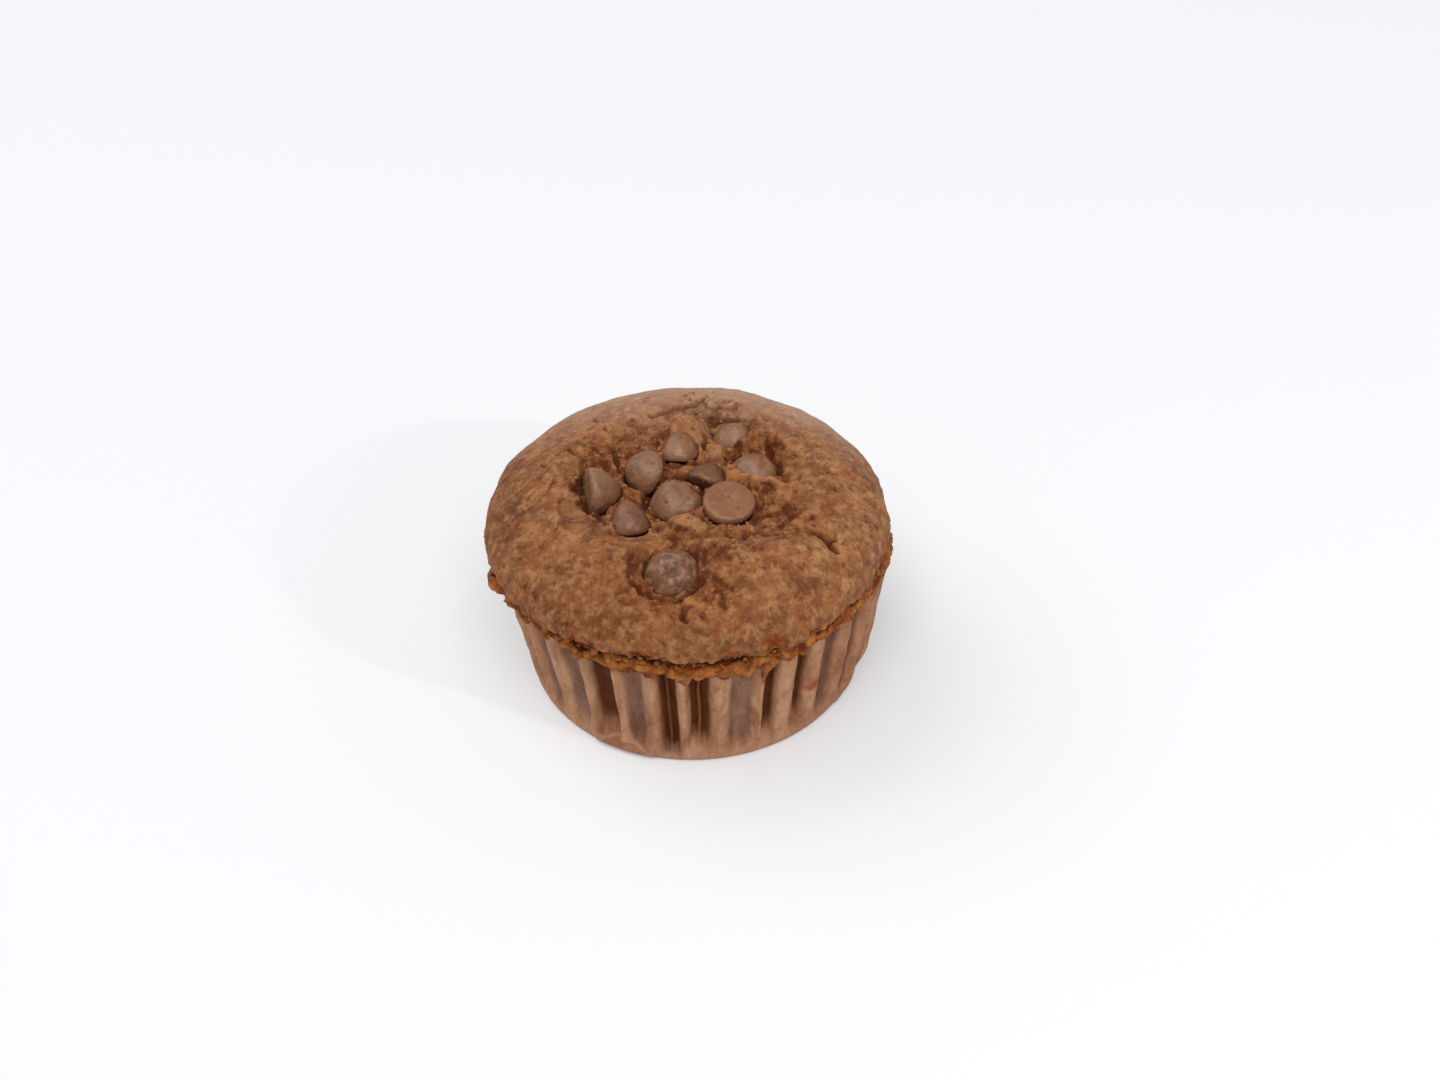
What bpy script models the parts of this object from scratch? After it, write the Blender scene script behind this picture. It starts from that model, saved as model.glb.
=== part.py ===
"""A chocolate cupcake in its fluted paper case.

A domed cake with a cracked crust, ten chocolate chips baked into its top and a
paper case round its sides. Metres, +Z up, standing on z = 0 with its middle on
the Z axis. Azimuths run from the front (-Y) towards +X.
"""
import math
import random

import bmesh
import bpy
from mathutils import Vector, noise

MM = 0.001
MERGE = 0.01 * MM

# Cake: the crust's widest ring, the top of the dome and the ragged lip below the crust
CRUST_RADIUS = 35.2 * MM
CRUST_HEIGHT = 29.4 * MM
CAKE_HEIGHT = 40.9 * MM
DOME_POWER = 2.8
LIP_RADIUS = 34.6 * MM
LIP_TOP = 28.0 * MM
LIP_UNDERSIDE = 25.25 * MM

# Paper case: it stands a little to the right of the crust, which leans left
CASE_SHIFT = 0.8 * MM
CASE_HEIGHT = 24.9 * MM
CASE_TOP_RADIUS = 34.3 * MM
CASE_SIDE_RADIUS = 30.15 * MM
CASE_SIDE_START = 1.5 * MM
CASE_FOOT_RADIUS = 29.2 * MM
PAPER = 0.5 * MM
GAP = 0.4 * MM
FLOOR_GAP = 0.3 * MM

# Flutes: width in degrees and depth in millimetres of the front ones, from the
# azimuth of the first one's ridge. The rest share what is left, in uneven widths.
FLUTES = 35
FIRST_RIDGE = -58.0
FRONT_FLUTES = (
    (11.5, 1.4), (12.0, 1.4), (10.0, 2.3), (10.7, 1.5), (9.2, 2.4), (10.6, 2.4),
    (13.0, 1.4), (8.3, 2.3), (10.2, 2.3), (12.5, 1.4), (10.5, 1.6),
)
WIDTH_SPREAD = 0.28
FLUTE_SEED = 7
DEEPEST_FLUTE = 2.3
NARROW_FLUTE = 8.0
DEPTH_PER_DEGREE = 0.25
SHALLOWEST_FLUTE = 1.4
# Shares of a flute's width where its ridge starts and ends and where its bottom does
FLUTE_KEYS = (-0.10, 0.10, 0.28, 0.72)
FLUTE_FADE_START = 0.5 * MM
FLUTE_FADE_END = 6.5 * MM
WALL_LEVELS = (1.5 * MM, 3.5 * MM, FLUTE_FADE_END)
COLUMNS = FLUTES * len(FLUTE_KEYS)

# Radii of the dome's rings, as shares of the crust's radius
DOME_RINGS = (0.09, 0.17, 0.26, 0.34, 0.43, 0.51, 0.60, 0.69, 0.77, 0.86, 0.93, 0.97, 0.993)

# Relief of the top, in millimetres: the sunken middle with its ragged crumb
CRATER_CENTRE = (0.0, 1.0)
CRATER_RADIUS = 19.0
CRATER_WALL = 4.5
CRATER_DEPTH = 2.9
CRATER_WAVER = 3.0
CRATER_WAVES = 2.0
BROKEN_WIDTH = 6.0
SWELL_LENGTH = 13.0
SWELL_HEIGHT = 0.55
SWELL_PLANE = 3.0
CRUMB_LENGTH = 4.2
CRUMB_HEIGHT = 0.45
CRUMB_PLANE = 9.0
UNBROKEN_CRUMB = 0.3
# Each lump and hollow of the top: x, y, radius and height
LUMPS = (
    (0.9, 14.4, 4.8, 3.3),      # crumb-covered lump behind the chips
    (5.4, 7.2, 2.4, 1.7),       # small lump between the chips
    (5.6, 16.8, 2.2, -1.6),     # hole at the back
    (14.2, 12.4, 5.6, 2.3),     # crust over the chip at the back right
    (9.4, 9.0, 2.6, 1.1),       # crumb in front of that chip
    (-3.4, -22.8, 8.2, -2.6),   # hollow round the chip at the front
    (15.0, -11.0, 5.6, -1.5),   # sunken crumb on the right
    (17.2, -18.2, 4.6, 0.8),    # ledge in front of it
    (11.0, -0.9, 2.8, 1.4),     # crust tongue, in three steps
    (14.6, -2.0, 3.2, 1.7),
    (18.8, -4.2, 3.6, 1.1),
    (-0.8, -11.0, 4.6, 1.8),    # crumb in front of the middle chip
    (6.6, -12.4, 3.6, 1.5),     # crumb in front of the flat chip
    (-22.2, 3.7, 3.6, 0.9),     # loose crumb on the left
    (2.0, 21.3, 3.2, -1.1),     # cracks at the back
    (9.7, 20.8, 3.2, -1.0),
    (23.4, -15.3, 2.4, -0.9),   # crack on the right shoulder
    (-1.4, -31.0, 2.2, -0.6),   # pit above the front edge
)
# Heights above the crust's widest ring where the relief starts and where it is full
RELIEF_START = 0.5 * MM
RELIEF_FULL = 10.0 * MM

# Crevice between crust and lip: wide at the front, a crack elsewhere
CREVICE_MIDDLE = -4.0
CREVICE_HALF_WIDTH = 24.0
CREVICE_FADE = 16.0
CREVICE_OPENING = 1.0 * MM
CREVICE_REACH = 3.0 * MM
STRAY_OPENING = 0.4
EDGE_WAVER = 0.35 * MM
EDGE_WAVES = 5.0
EDGE_WAVE_HEIGHT = 4.0 * MM
EDGE_START = 0.8 * CRUST_RADIUS
# The outline there: radius from the lip's and height from its top
UNDER_CRUST = ((0.3 * MM, 0.8 * MM), (-1.1 * MM, 0.55 * MM))
LIP_OUTLINE = ((-1.3 * MM, -0.1 * MM), (-0.4 * MM, 0.0), (0.0, -1.0 * MM))
LIP_HEM = 0.2 * MM
LIP_SETTLING = 0.35
LIP_WAVER = 1.5
UNDERSIDE_STEP = 0.05 * MM
# Where the lip swells outwards: azimuth, half width in degrees, and by how much
LIP_BULGES = ((-66.0, 14.0, 1.0 * MM), (82.0, 12.0, 0.4 * MM), (-150.0, 18.0, 0.5 * MM))

# Chips: middle x, y, z, diameter and height in millimetres, then how far the tip
# leans from upright and the azimuth that it leans to, in degrees
CHIPS = (
    (-14.1, -0.8, 37.4, 9.2, 6.4, 102.0, 99.0),
    (-7.9, 3.3, 38.6, 8.8, 5.4, 58.0, -82.0),
    (-0.8, 10.2, 38.4, 7.2, 5.2, 30.0, 180.0),
    (9.3, 12.6, 37.9, 8.8, 5.6, 10.0, 90.0),
    (12.3, 4.2, 38.0, 8.7, 5.0, 14.0, 120.0),
    (4.2, 2.2, 37.8, 7.4, 5.4, 68.0, 150.0),
    (-2.2, -3.5, 38.4, 9.0, 6.0, 12.0, -150.0),
    (7.1, -6.5, 37.4, 9.2, 5.8, 167.0, -164.0),
    (-9.8, -8.9, 38.3, 7.2, 6.2, 42.0, -172.0),
    (-2.7, -21.7, 37.6, 10.0, 6.2, 18.0, 0.0),
)
CHIP_SIDES = 14
# Outline of a chip from its tip down, as (share of the radius, share of the height)
CHIP_OUTLINE = ((0.0, 1.0), (0.22, 0.95), (0.52, 0.80), (0.80, 0.56), (0.97, 0.28), (0.98, 0.10), (0.86, 0.0))
SOCKET_GAP = 0.4 * MM

# Colour and roughness of each material
CRUST_LOOK = ((0.27, 0.115, 0.055), 0.85)
PAPER_LOOK = ((0.19, 0.085, 0.042), 0.55)
CHOCOLATE_LOOK = ((0.19, 0.095, 0.058), 0.45)


def smoothstep(low, high, value):
    """0 below low, 1 above high and a smooth rise between them."""
    share = min(max((value - low) / (high - low), 0.0), 1.0)
    return share * share * (3.0 - 2.0 * share)


def angle_between(first, second):
    """The smaller angle between two azimuths, in degrees."""
    return abs((first - second + 180.0) % 360.0 - 180.0)


def flutes():
    """Width in degrees and depth in millimetres of each flute, 360 degrees in all, the front ones first."""
    draw = random.Random(FLUTE_SEED)
    others = [1.0 + WIDTH_SPREAD * draw.uniform(-1.0, 1.0) for _ in range(FLUTES - len(FRONT_FLUTES))]
    scale = (360.0 - sum(width for width, _ in FRONT_FLUTES)) / sum(others)
    found = list(FRONT_FLUTES)
    for width in others:
        depth = DEEPEST_FLUTE - DEPTH_PER_DEGREE * (scale * width - NARROW_FLUTE)
        found.append((scale * width, min(max(depth, SHALLOWEST_FLUTE), DEEPEST_FLUTE)))
    return found


def flute_columns():
    """Azimuth of each column of the case, and how far it is drawn in where the flutes are full."""
    columns = []
    ridge = FIRST_RIDGE
    for width, depth in flutes():
        for key in FLUTE_KEYS:
            in_groove = key > FLUTE_KEYS[1]
            columns.append((ridge + key * width, depth * MM if in_groove else 0.0))
        ridge += width
    return columns


def case_radius(height):
    """Outer radius of the case on its ridges."""
    if height < CASE_SIDE_START:
        share = math.sqrt(height / CASE_SIDE_START)
        return CASE_FOOT_RADIUS + (CASE_SIDE_RADIUS - CASE_FOOT_RADIUS) * share
    share = (height - CASE_SIDE_START) / (CASE_HEIGHT - CASE_SIDE_START)
    return CASE_SIDE_RADIUS + (CASE_TOP_RADIUS - CASE_SIDE_RADIUS) * share


def dome_height(radius):
    """Height of the plain dome over a distance from its middle."""
    share = min(radius / CRUST_RADIUS, 1.0)
    return CRUST_HEIGHT + (CAKE_HEIGHT - CRUST_HEIGHT) * math.sqrt(1.0 - share ** DOME_POWER)


def relief(x, y):
    """Height added to the dome at a place on the top, all in millimetres."""
    swell = SWELL_HEIGHT * noise.noise(Vector((x, y, SWELL_PLANE)) / SWELL_LENGTH)
    crumb = CRUMB_HEIGHT * noise.noise(Vector((x, y, CRUMB_PLANE)) / CRUMB_LENGTH)
    across = x - CRATER_CENTRE[0]
    along = y - CRATER_CENTRE[1]
    distance = math.hypot(across, along)
    heading = Vector((across, along, 0.0)).normalized()
    edge = CRATER_RADIUS + CRATER_WAVER * noise.noise(CRATER_WAVES * heading)
    sunk = 1.0 - smoothstep(edge - CRATER_WALL, edge + CRATER_WALL, distance)
    broken = 1.0 - smoothstep(edge, edge + BROKEN_WIDTH, distance)
    height = swell - CRATER_DEPTH * sunk + (UNBROKEN_CRUMB + broken) * crumb
    for lump_x, lump_y, radius, rise in LUMPS:
        share = math.hypot(x - lump_x, y - lump_y) / radius
        if share < 1.0:
            height += rise * (1.0 - share * share) ** 2
    return height


def turned(name, profile, steps, collection):
    """A closed turned body: the profile, from axis to axis, runs down its outer side."""
    mesh = bpy.data.meshes.new(name + "_profile")
    mesh.from_pydata([(radius, 0.0, height) for radius, height in profile],
                     [(i, i + 1) for i in range(len(profile) - 1)], [])
    guide = bpy.data.objects.new(name + "_profile", mesh)
    collection.objects.link(guide)
    screw = guide.modifiers.new("Turn", "SCREW")
    screw.axis = "Z"
    screw.angle = 2.0 * math.pi
    screw.steps = steps
    screw.render_steps = steps
    screw.use_merge_vertices = True
    screw.merge_threshold = MERGE
    evaluated = guide.evaluated_get(bpy.context.evaluated_depsgraph_get())
    body = bpy.data.objects.new(name, bpy.data.meshes.new_from_object(evaluated))
    body.data.name = name
    body.data.shade_smooth()
    bpy.data.objects.remove(guide)
    collection.objects.link(body)
    return body


def split_walls(mesh):
    """Splits the quads of a turned mesh, facing in or out, along the same diagonals.

    Walls that follow each other a little apart then stay apart when they are fluted.
    """
    work = bmesh.new()
    work.from_mesh(mesh)
    inward = []
    outward = []
    for face in work.faces:
        middle = face.calc_center_median()
        faces_in = face.normal.x * middle.x + face.normal.y * middle.y < 0.0
        (inward if faces_in else outward).append(face)
    bmesh.ops.triangulate(work, faces=inward, quad_method="ALTERNATE")
    bmesh.ops.triangulate(work, faces=outward, quad_method="FIXED")
    work.to_mesh(mesh)
    work.free()


def on_circle(radius, azimuth, height, shift):
    """A point at an azimuth in degrees round a vertical axis that stands at x = shift."""
    turn = math.radians(azimuth)
    return Vector((shift + radius * math.sin(turn), -radius * math.cos(turn), height))


def column_of(point):
    """Number of the turned body's column that a point lies on."""
    return round(math.atan2(point.y, point.x) / (2.0 * math.pi) * COLUMNS) % COLUMNS


def fluted_point(point, columns):
    """Moves a point of a turned wall to its flute: ridge, or groove drawn in by its depth."""
    radius = math.hypot(point.x, point.y)
    if radius < MM:
        return Vector((CASE_SHIFT, 0.0, point.z))
    azimuth, depth = columns[column_of(point)]
    drawn_in = depth * smoothstep(FLUTE_FADE_START, FLUTE_FADE_END, point.z)
    return on_circle(radius - drawn_in, azimuth, point.z, CASE_SHIFT)


def crust_point(point, first_azimuth):
    """Moves a point of the plain turned crust or lip to the uneven baked form."""
    radius = math.hypot(point.x, point.y)
    azimuth = first_azimuth + column_of(point) * 360.0 / COLUMNS
    round_place = on_circle(EDGE_WAVES, azimuth, 0.0, 0.0)
    waver = EDGE_WAVER * noise.noise(round_place + Vector((0.0, 0.0, point.z / EDGE_WAVE_HEIGHT)))
    from_middle = angle_between(azimuth, CREVICE_MIDDLE)
    opening = 1.0 - smoothstep(CREVICE_HALF_WIDTH, CREVICE_HALF_WIDTH + CREVICE_FADE, from_middle)
    opening = CREVICE_OPENING * max(opening, STRAY_OPENING * noise.noise(round_place))
    edge_share = smoothstep(EDGE_START, CRUST_RADIUS, radius)
    if point.z > LIP_TOP + UNDERSIDE_STEP:
        place = on_circle(radius + waver * edge_share, azimuth, point.z, 0.0)
        top_share = smoothstep(CRUST_HEIGHT + RELIEF_START, CRUST_HEIGHT + RELIEF_FULL, point.z)
        low_share = 1.0 - smoothstep(CRUST_HEIGHT, CRUST_HEIGHT + CREVICE_REACH, point.z)
        place.z += top_share * MM * relief(place.x / MM, place.y / MM)
        place.z += low_share * opening + waver * edge_share
        return place
    for middle, half_width, swelling in LIP_BULGES:
        radius += swelling * (1.0 - smoothstep(0.0, half_width, angle_between(azimuth, middle)))
    upper_share = smoothstep(LIP_UNDERSIDE, LIP_TOP, point.z)
    height = point.z - upper_share * (LIP_SETTLING * opening - waver)
    return on_circle(radius + LIP_WAVER * waver * upper_share, azimuth, height, CASE_SHIFT)


def make_case(collection, columns):
    """The paper case: floor and fluted wall in one turned shell."""
    inner = [(0.0, PAPER), (case_radius(PAPER) - PAPER, PAPER)]
    inner += [(case_radius(level) - PAPER, level) for level in (*WALL_LEVELS, CASE_HEIGHT)]
    outer = [(case_radius(level), level) for level in (CASE_HEIGHT, *reversed(WALL_LEVELS), PAPER, 0.0)]
    case = turned("paper_case", inner + outer + [(0.0, 0.0)], COLUMNS, collection)
    split_walls(case.data)
    for vertex in case.data.vertices:
        vertex.co = fluted_point(vertex.co, columns)
    return case


def cake_profile():
    """The plain turned outline of the cake, from the top of the dome to its foot."""
    dome = [(0.0, CAKE_HEIGHT)]
    dome += [(share * CRUST_RADIUS, dome_height(share * CRUST_RADIUS)) for share in DOME_RINGS]
    edge = [(CRUST_RADIUS, CRUST_HEIGHT)]
    edge += [(LIP_RADIUS + out, LIP_TOP + up) for out, up in UNDER_CRUST + LIP_OUTLINE]
    edge.append((LIP_RADIUS - LIP_HEM, LIP_UNDERSIDE))
    foot = PAPER + FLOOR_GAP
    levels = (LIP_UNDERSIDE - UNDERSIDE_STEP, *reversed(WALL_LEVELS), foot)
    side = [(case_radius(level) - PAPER - GAP, level) for level in levels]
    return dome + edge + side + [(0.0, foot)]


def make_cake(collection, columns):
    """The cake: crusted dome, crevice, ragged lip, and the fluted side inside the case."""
    cake = turned("cake", cake_profile(), COLUMNS, collection)
    split_walls(cake.data)
    middle_column = COLUMNS // 2
    first_azimuth = columns[middle_column][0] - middle_column * 360.0 / COLUMNS
    for vertex in cake.data.vertices:
        if vertex.co.z < LIP_UNDERSIDE - 0.5 * UNDERSIDE_STEP:
            vertex.co = fluted_point(vertex.co, columns)
        else:
            vertex.co = crust_point(vertex.co, first_azimuth)
    return cake


def chip_body(name, middle, diameter, height, lean, towards, swelling, collection):
    """One chocolate chip: a turned drop with a flat foot, larger all round by swelling."""
    radius = 0.5 * diameter + swelling
    length = height + 2.0 * swelling
    profile = [(share * radius, (level - 0.5) * length) for share, level in CHIP_OUTLINE]
    chip = turned(name, profile + [(0.0, -0.5 * length)], CHIP_SIDES, collection)
    tip = on_circle(math.sin(math.radians(lean)), towards, math.cos(math.radians(lean)), 0.0)
    chip.rotation_mode = "QUATERNION"
    chip.rotation_quaternion = Vector((0.0, 0.0, 1.0)).rotation_difference(tip)
    chip.location = middle
    return chip


def make_chips(parts, cutters):
    """The chips, and the cutters that leave room for them in the cake."""
    chips = []
    for number, (x, y, z, diameter, height, lean, towards) in enumerate(CHIPS, start=1):
        middle = Vector((x, y, z)) * MM
        size = (diameter * MM, height * MM, lean, towards)
        chips.append(chip_body(f"chip_{number:02d}", middle, *size, 0.0, parts))
        socket = chip_body(f"socket_{number:02d}", middle, *size, SOCKET_GAP, cutters)
        socket.hide_render = True
        socket.display_type = "WIRE"
    return chips


def material(name, colour, roughness):
    """A Principled material of one colour."""
    made = bpy.data.materials.new(name)
    made.use_nodes = True
    shader = made.node_tree.nodes["Principled BSDF"]
    shader.inputs["Base Color"].default_value = (*colour, 1.0)
    shader.inputs["Roughness"].default_value = roughness
    shader.inputs["Metallic"].default_value = 0.0
    return made


def main():
    for old in list(bpy.data.objects):
        bpy.data.objects.remove(old)
    parts = bpy.data.collections.new("cupcake")
    cutters = bpy.data.collections.new("cutters")
    bpy.context.scene.collection.children.link(parts)
    bpy.context.scene.collection.children.link(cutters)
    columns = flute_columns()
    case = make_case(parts, columns)
    cake = make_cake(parts, columns)
    chips = make_chips(parts, cutters)
    sockets = cake.modifiers.new("Sockets", "BOOLEAN")
    sockets.operation = "DIFFERENCE"
    sockets.operand_type = "COLLECTION"
    sockets.collection = cutters
    cake.data.materials.append(material("cake_crust", *CRUST_LOOK))
    case.data.materials.append(material("brown_paper", *PAPER_LOOK))
    chocolate = material("chocolate", *CHOCOLATE_LOOK)
    stand = bpy.data.objects.new("cupcake_origin", None)
    parts.objects.link(stand)
    for chip in chips:
        chip.data.materials.append(chocolate)
    for piece in (case, cake, *chips):
        piece.parent = stand


main()
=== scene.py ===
"""The looks of a chocolate cupcake in its paper case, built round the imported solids.

Shapes are worked out in millimetres with +Z up and scaled to metres as each mesh
is made. Azimuths run from the front (-Y) towards +X, in degrees.
"""
import math
import random

import bmesh
import bpy
import numpy as np
from mathutils import Matrix, Vector, noise


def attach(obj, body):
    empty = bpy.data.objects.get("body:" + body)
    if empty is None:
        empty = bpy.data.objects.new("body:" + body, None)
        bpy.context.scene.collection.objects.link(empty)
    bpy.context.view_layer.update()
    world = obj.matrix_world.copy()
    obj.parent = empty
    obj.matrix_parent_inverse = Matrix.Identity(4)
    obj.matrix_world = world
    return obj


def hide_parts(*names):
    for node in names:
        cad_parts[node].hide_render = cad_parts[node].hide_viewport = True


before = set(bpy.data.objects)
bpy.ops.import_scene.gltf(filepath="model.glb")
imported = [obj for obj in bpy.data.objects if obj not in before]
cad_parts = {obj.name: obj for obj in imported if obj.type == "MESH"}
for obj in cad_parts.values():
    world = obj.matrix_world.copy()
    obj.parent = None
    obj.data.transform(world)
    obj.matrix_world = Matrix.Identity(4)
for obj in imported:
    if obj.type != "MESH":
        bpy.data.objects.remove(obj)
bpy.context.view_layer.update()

MM = 0.001

# Cake: the same named sizes as the solid has
CRUST_RADIUS = 35.2
CRUST_HEIGHT = 29.4
CAKE_HEIGHT = 40.9
DOME_POWER = 2.8
LIP_RADIUS = 34.6
LIP_TOP = 28.0
LIP_UNDERSIDE = 25.25
CRATER_CENTRE = (0.0, 1.0)
CRATER_RADIUS = 19.0
CRATER_WALL = 4.5
CRATER_DEPTH = 2.9
CRATER_WAVER = 3.0
CRATER_WAVES = 2.0
BROKEN_WIDTH = 6.0
SWELL_LENGTH = 13.0
SWELL_HEIGHT = 0.55
SWELL_PLANE = 3.0
CRUMB_LENGTH = 4.2
CRUMB_HEIGHT = 0.45
CRUMB_PLANE = 9.0
UNBROKEN_CRUMB = 0.3
LUMPS = (
    (0.9, 14.4, 4.8, 3.3),      # crumb-covered lump behind the chips
    (5.4, 7.2, 2.4, 1.7),       # small lump between the chips
    (5.6, 16.8, 2.2, -1.6),     # hole at the back
    (14.2, 12.4, 5.6, 2.3),     # crust over the chip at the back right
    (9.4, 9.0, 2.6, 1.1),       # crumb in front of that chip
    (-3.4, -22.8, 8.2, -2.6),   # hollow round the chip at the front
    (15.0, -11.0, 5.6, -1.5),   # sunken crumb on the right
    (17.2, -18.2, 4.6, 0.8),    # ledge in front of it
    (11.0, -0.9, 2.8, 1.4),     # crust tongue, in three steps
    (14.6, -2.0, 3.2, 1.7),
    (18.8, -4.2, 3.6, 1.1),
    (-0.8, -11.0, 4.6, 1.8),    # crumb in front of the middle chip
    (6.6, -12.4, 3.6, 1.5),     # crumb in front of the flat chip
    (-22.2, 3.7, 3.6, 0.9),     # loose crumb on the left
    (2.0, 21.3, 3.2, -1.1),     # cracks at the back
    (9.7, 20.8, 3.2, -1.0),
    (23.4, -15.3, 2.4, -0.9),   # crack on the right shoulder
    (-1.4, -31.0, 2.2, -0.6),   # pit above the front edge
)
RELIEF_START = 0.5
RELIEF_FULL = 10.0
CREVICE_MIDDLE = -4.0
CREVICE_HALF_WIDTH = 24.0
CREVICE_FADE = 16.0
CREVICE_OPENING = 1.0
CREVICE_REACH = 3.0
STRAY_OPENING = 0.4
EDGE_WAVER = 0.35
EDGE_WAVES = 5.0
EDGE_WAVE_HEIGHT = 4.0
EDGE_START = 0.8 * CRUST_RADIUS
LIP_SETTLING = 0.35
LIP_WAVER = 1.5
LIP_BULGES = ((-66.0, 14.0, 0.5), (-75.0, 9.0, 1.7), (82.0, 12.0, 0.4), (-150.0, 18.0, 0.5))

# Paper case: the same named sizes as the solid has
CASE_SHIFT = 0.8
CASE_HEIGHT = 24.9
CASE_TOP_RADIUS = 34.3
CASE_SIDE_RADIUS = 30.15
CASE_SIDE_START = 1.5
CASE_FOOT_RADIUS = 29.2
FLUTES = 35
FIRST_RIDGE = -58.0
# Width in degrees, depth, half width of the ridge and height of a rib in the groove
FRONT_FLUTES = (
    (11.5, 1.4, 0.8, 0.0), (12.0, 1.4, 1.2, 0.0), (10.0, 2.3, 0.7, 0.0), (10.7, 1.5, 0.4, 0.0),
    (9.2, 2.4, 0.75, 0.6), (10.6, 2.4, 0.65, 0.7), (13.0, 1.4, 1.2, 0.0), (8.3, 2.3, 0.45, 0.0),
    (10.2, 2.3, 1.5, 0.0), (12.5, 1.6, 1.4, 0.0), (10.5, 1.9, 1.0, 0.0),
)
# Flute number and height where the painted shade and grease stain in its groove end, where that isn't the plain height
# below
SHADE_AND_STAIN_ENDS = {2: 6.0, 4: 0.0, 8: 6.5}
SHADE_AND_STAIN_END = 5.5
# Where the paper reaches up to the crust: azimuth, half width and extra height
PAPER_RISES = ((50.0, 27.0, 1.6), (-50.0, 15.0, 0.9))
# Where the case stands out: azimuth, half width and how far at mid height
CASE_BULGE = (75.0, 34.0, 1.15)
WIDTH_SPREAD = 0.28
FLUTE_SEED = 7
DEEPEST_FLUTE = 2.3
NARROW_FLUTE = 8.0
DEPTH_PER_DEGREE = 0.25
SHALLOWEST_FLUTE = 1.4
FLUTE_FADE_START = 0.5
FLUTE_FADE_END = 6.5

# Chips: middle x, y, z, diameter and height, then how far the tip leans from
# upright and the azimuth that it leans to, in degrees
CHIPS = (
    (-14.1, -0.8, 37.4, 9.2, 6.4, 102.0, 99.0),
    (-7.9, 3.3, 38.6, 8.8, 5.4, 58.0, -82.0),
    (-0.8, 10.2, 38.4, 7.2, 5.2, 30.0, 180.0),
    (9.3, 12.6, 37.9, 8.8, 5.6, 10.0, 90.0),
    (12.3, 4.2, 38.0, 8.7, 5.0, 14.0, 120.0),
    (4.2, 2.2, 37.8, 7.4, 5.4, 68.0, 150.0),
    (-2.2, -3.5, 38.4, 9.0, 6.0, 12.0, -150.0),
    (7.1, -6.5, 37.4, 9.2, 5.8, 167.0, -164.0),
    (-9.8, -8.9, 38.3, 7.2, 6.2, 42.0, -172.0),
    (-2.7, -21.7, 37.6, 10.0, 6.2, 18.0, 0.0),
)
CHIP_OUTLINE = ((0.0, 1.0), (0.22, 0.95), (0.52, 0.80), (0.80, 0.56), (0.97, 0.28), (0.98, 0.10), (0.86, 0.0))

# Fine surface of the cake: distance between its rings in the middle and at the rim
MIDDLE_SPACING = 0.2
RIM_SPACING = 0.36
SPACING_CHANGE = (20.0, 27.0)
MIDDLE_EDGE = 23.0
# Patches of torn crumb: x, y, radius
BROKEN_PATCHES = (
    (-6.0, 1.5, 14.5), (5.0, 3.0, 14.0), (-2.0, -21.8, 9.0), (15.0, -11.0, 6.5), (4.5, 18.0, 6.5), (4.0, -14.0, 8.0),
)
# Crevices, also painted dark as painted shade: their points, width and depth
CREVICES = (
    (((-17.6, 3.4), (-18.0, -1.0), (-17.2, -5.0), (-15.6, -7.4)), 0.85, 1.9),
    (((-17.2, 7.6), (-18.2, 4.6)), 0.7, 1.1),
    (((-14.8, 9.8), (-14.2, 7.2)), 0.5, 1.2),
    (((-12.6, 9.2), (-11.8, 6.4), (-11.2, 4.4)), 0.6, 1.5),
    (((-4.8, 14.6), (-4.6, 12.0)), 0.55, 1.1),
    (((-4.0, 6.4), (-3.4, 4.2)), 0.6, 1.0),
    (((3.6, 18.2), (7.0, 17.8), (11.8, 16.0)), 0.6, 1.5),
    (((-5.8, 19.4), (-2.0, 20.6), (1.0, 21.8), (3.8, 23.4)), 0.5, 1.1),
    (((5.4, 20.0), (8.0, 20.8), (10.6, 22.3)), 0.45, 1.0),
    (((3.4, 22.8), (4.6, 20.6), (6.6, 19.0)), 0.45, 0.9),
    (((3.6, 5.6), (6.9, 5.4)), 0.5, 1.1),
    (((14.6, 9.4), (16.4, 6.4), (16.8, 3.2)), 0.75, 1.9),
    (((12.2, -1.8), (12.9, -4.4), (12.6, -7.2)), 0.5, 1.0),
    (((18.4, -8.9), (18.9, -9.8)), 0.6, 1.1),
    (((-13.8, -4.8), (-14.6, -7.6), (-13.6, -10.6)), 0.9, 1.5),
    (((2.4, -1.6), (2.9, -5.4)), 0.5, 1.1),
    (((-9.2, -18.2), (-9.9, -20.6)), 0.8, 1.2),
    (((-15.6, -9.6), (-14.8, -12.6), (-12.2, -13.6)), 1.0, 1.0),
    (((-8.6, -24.2), (-7.9, -26.0)), 1.0, 2.0),
    (((-7.0, -25.4), (-5.0, -27.3), (-2.0, -27.7), (0.6, -26.6), (2.4, -24.0)), 0.7, 1.5),
    (((-7.1, -5.6), (-7.0, -2.4), (-5.4, 0.9), (-2.6, 2.3)), 1.0, 2.0),
    (((-2.6, 2.3), (0.8, 1.7), (2.9, -0.8), (3.0, -2.6)), 0.8, 1.8),
    (((-6.6, -6.8), (-4.0, -8.7), (-0.6, -8.7)), 0.7, 1.1),
    (((-3.9, 6.8), (-2.2, 5.4), (1.8, 5.6)), 0.9, 1.5),
    (((3.6, 12.6), (3.7, 9.2)), 0.6, 1.3),
    (((-10.4, -2.6), (-8.4, -4.4)), 0.7, 1.3),
    (((11.4, -3.6), (12.3, -6.8), (11.2, -10.0)), 0.6, 1.1),
    (((13.0, -8.4), (16.4, -7.6), (18.0, -10.4)), 0.8, 0.9),
    (((4.0, -17.2), (6.4, -20.2)), 0.7, 0.8),
    (((2.4, -19.0), (2.6, -22.2), (1.2, -25.0)), 0.5, 0.8),
)
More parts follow.
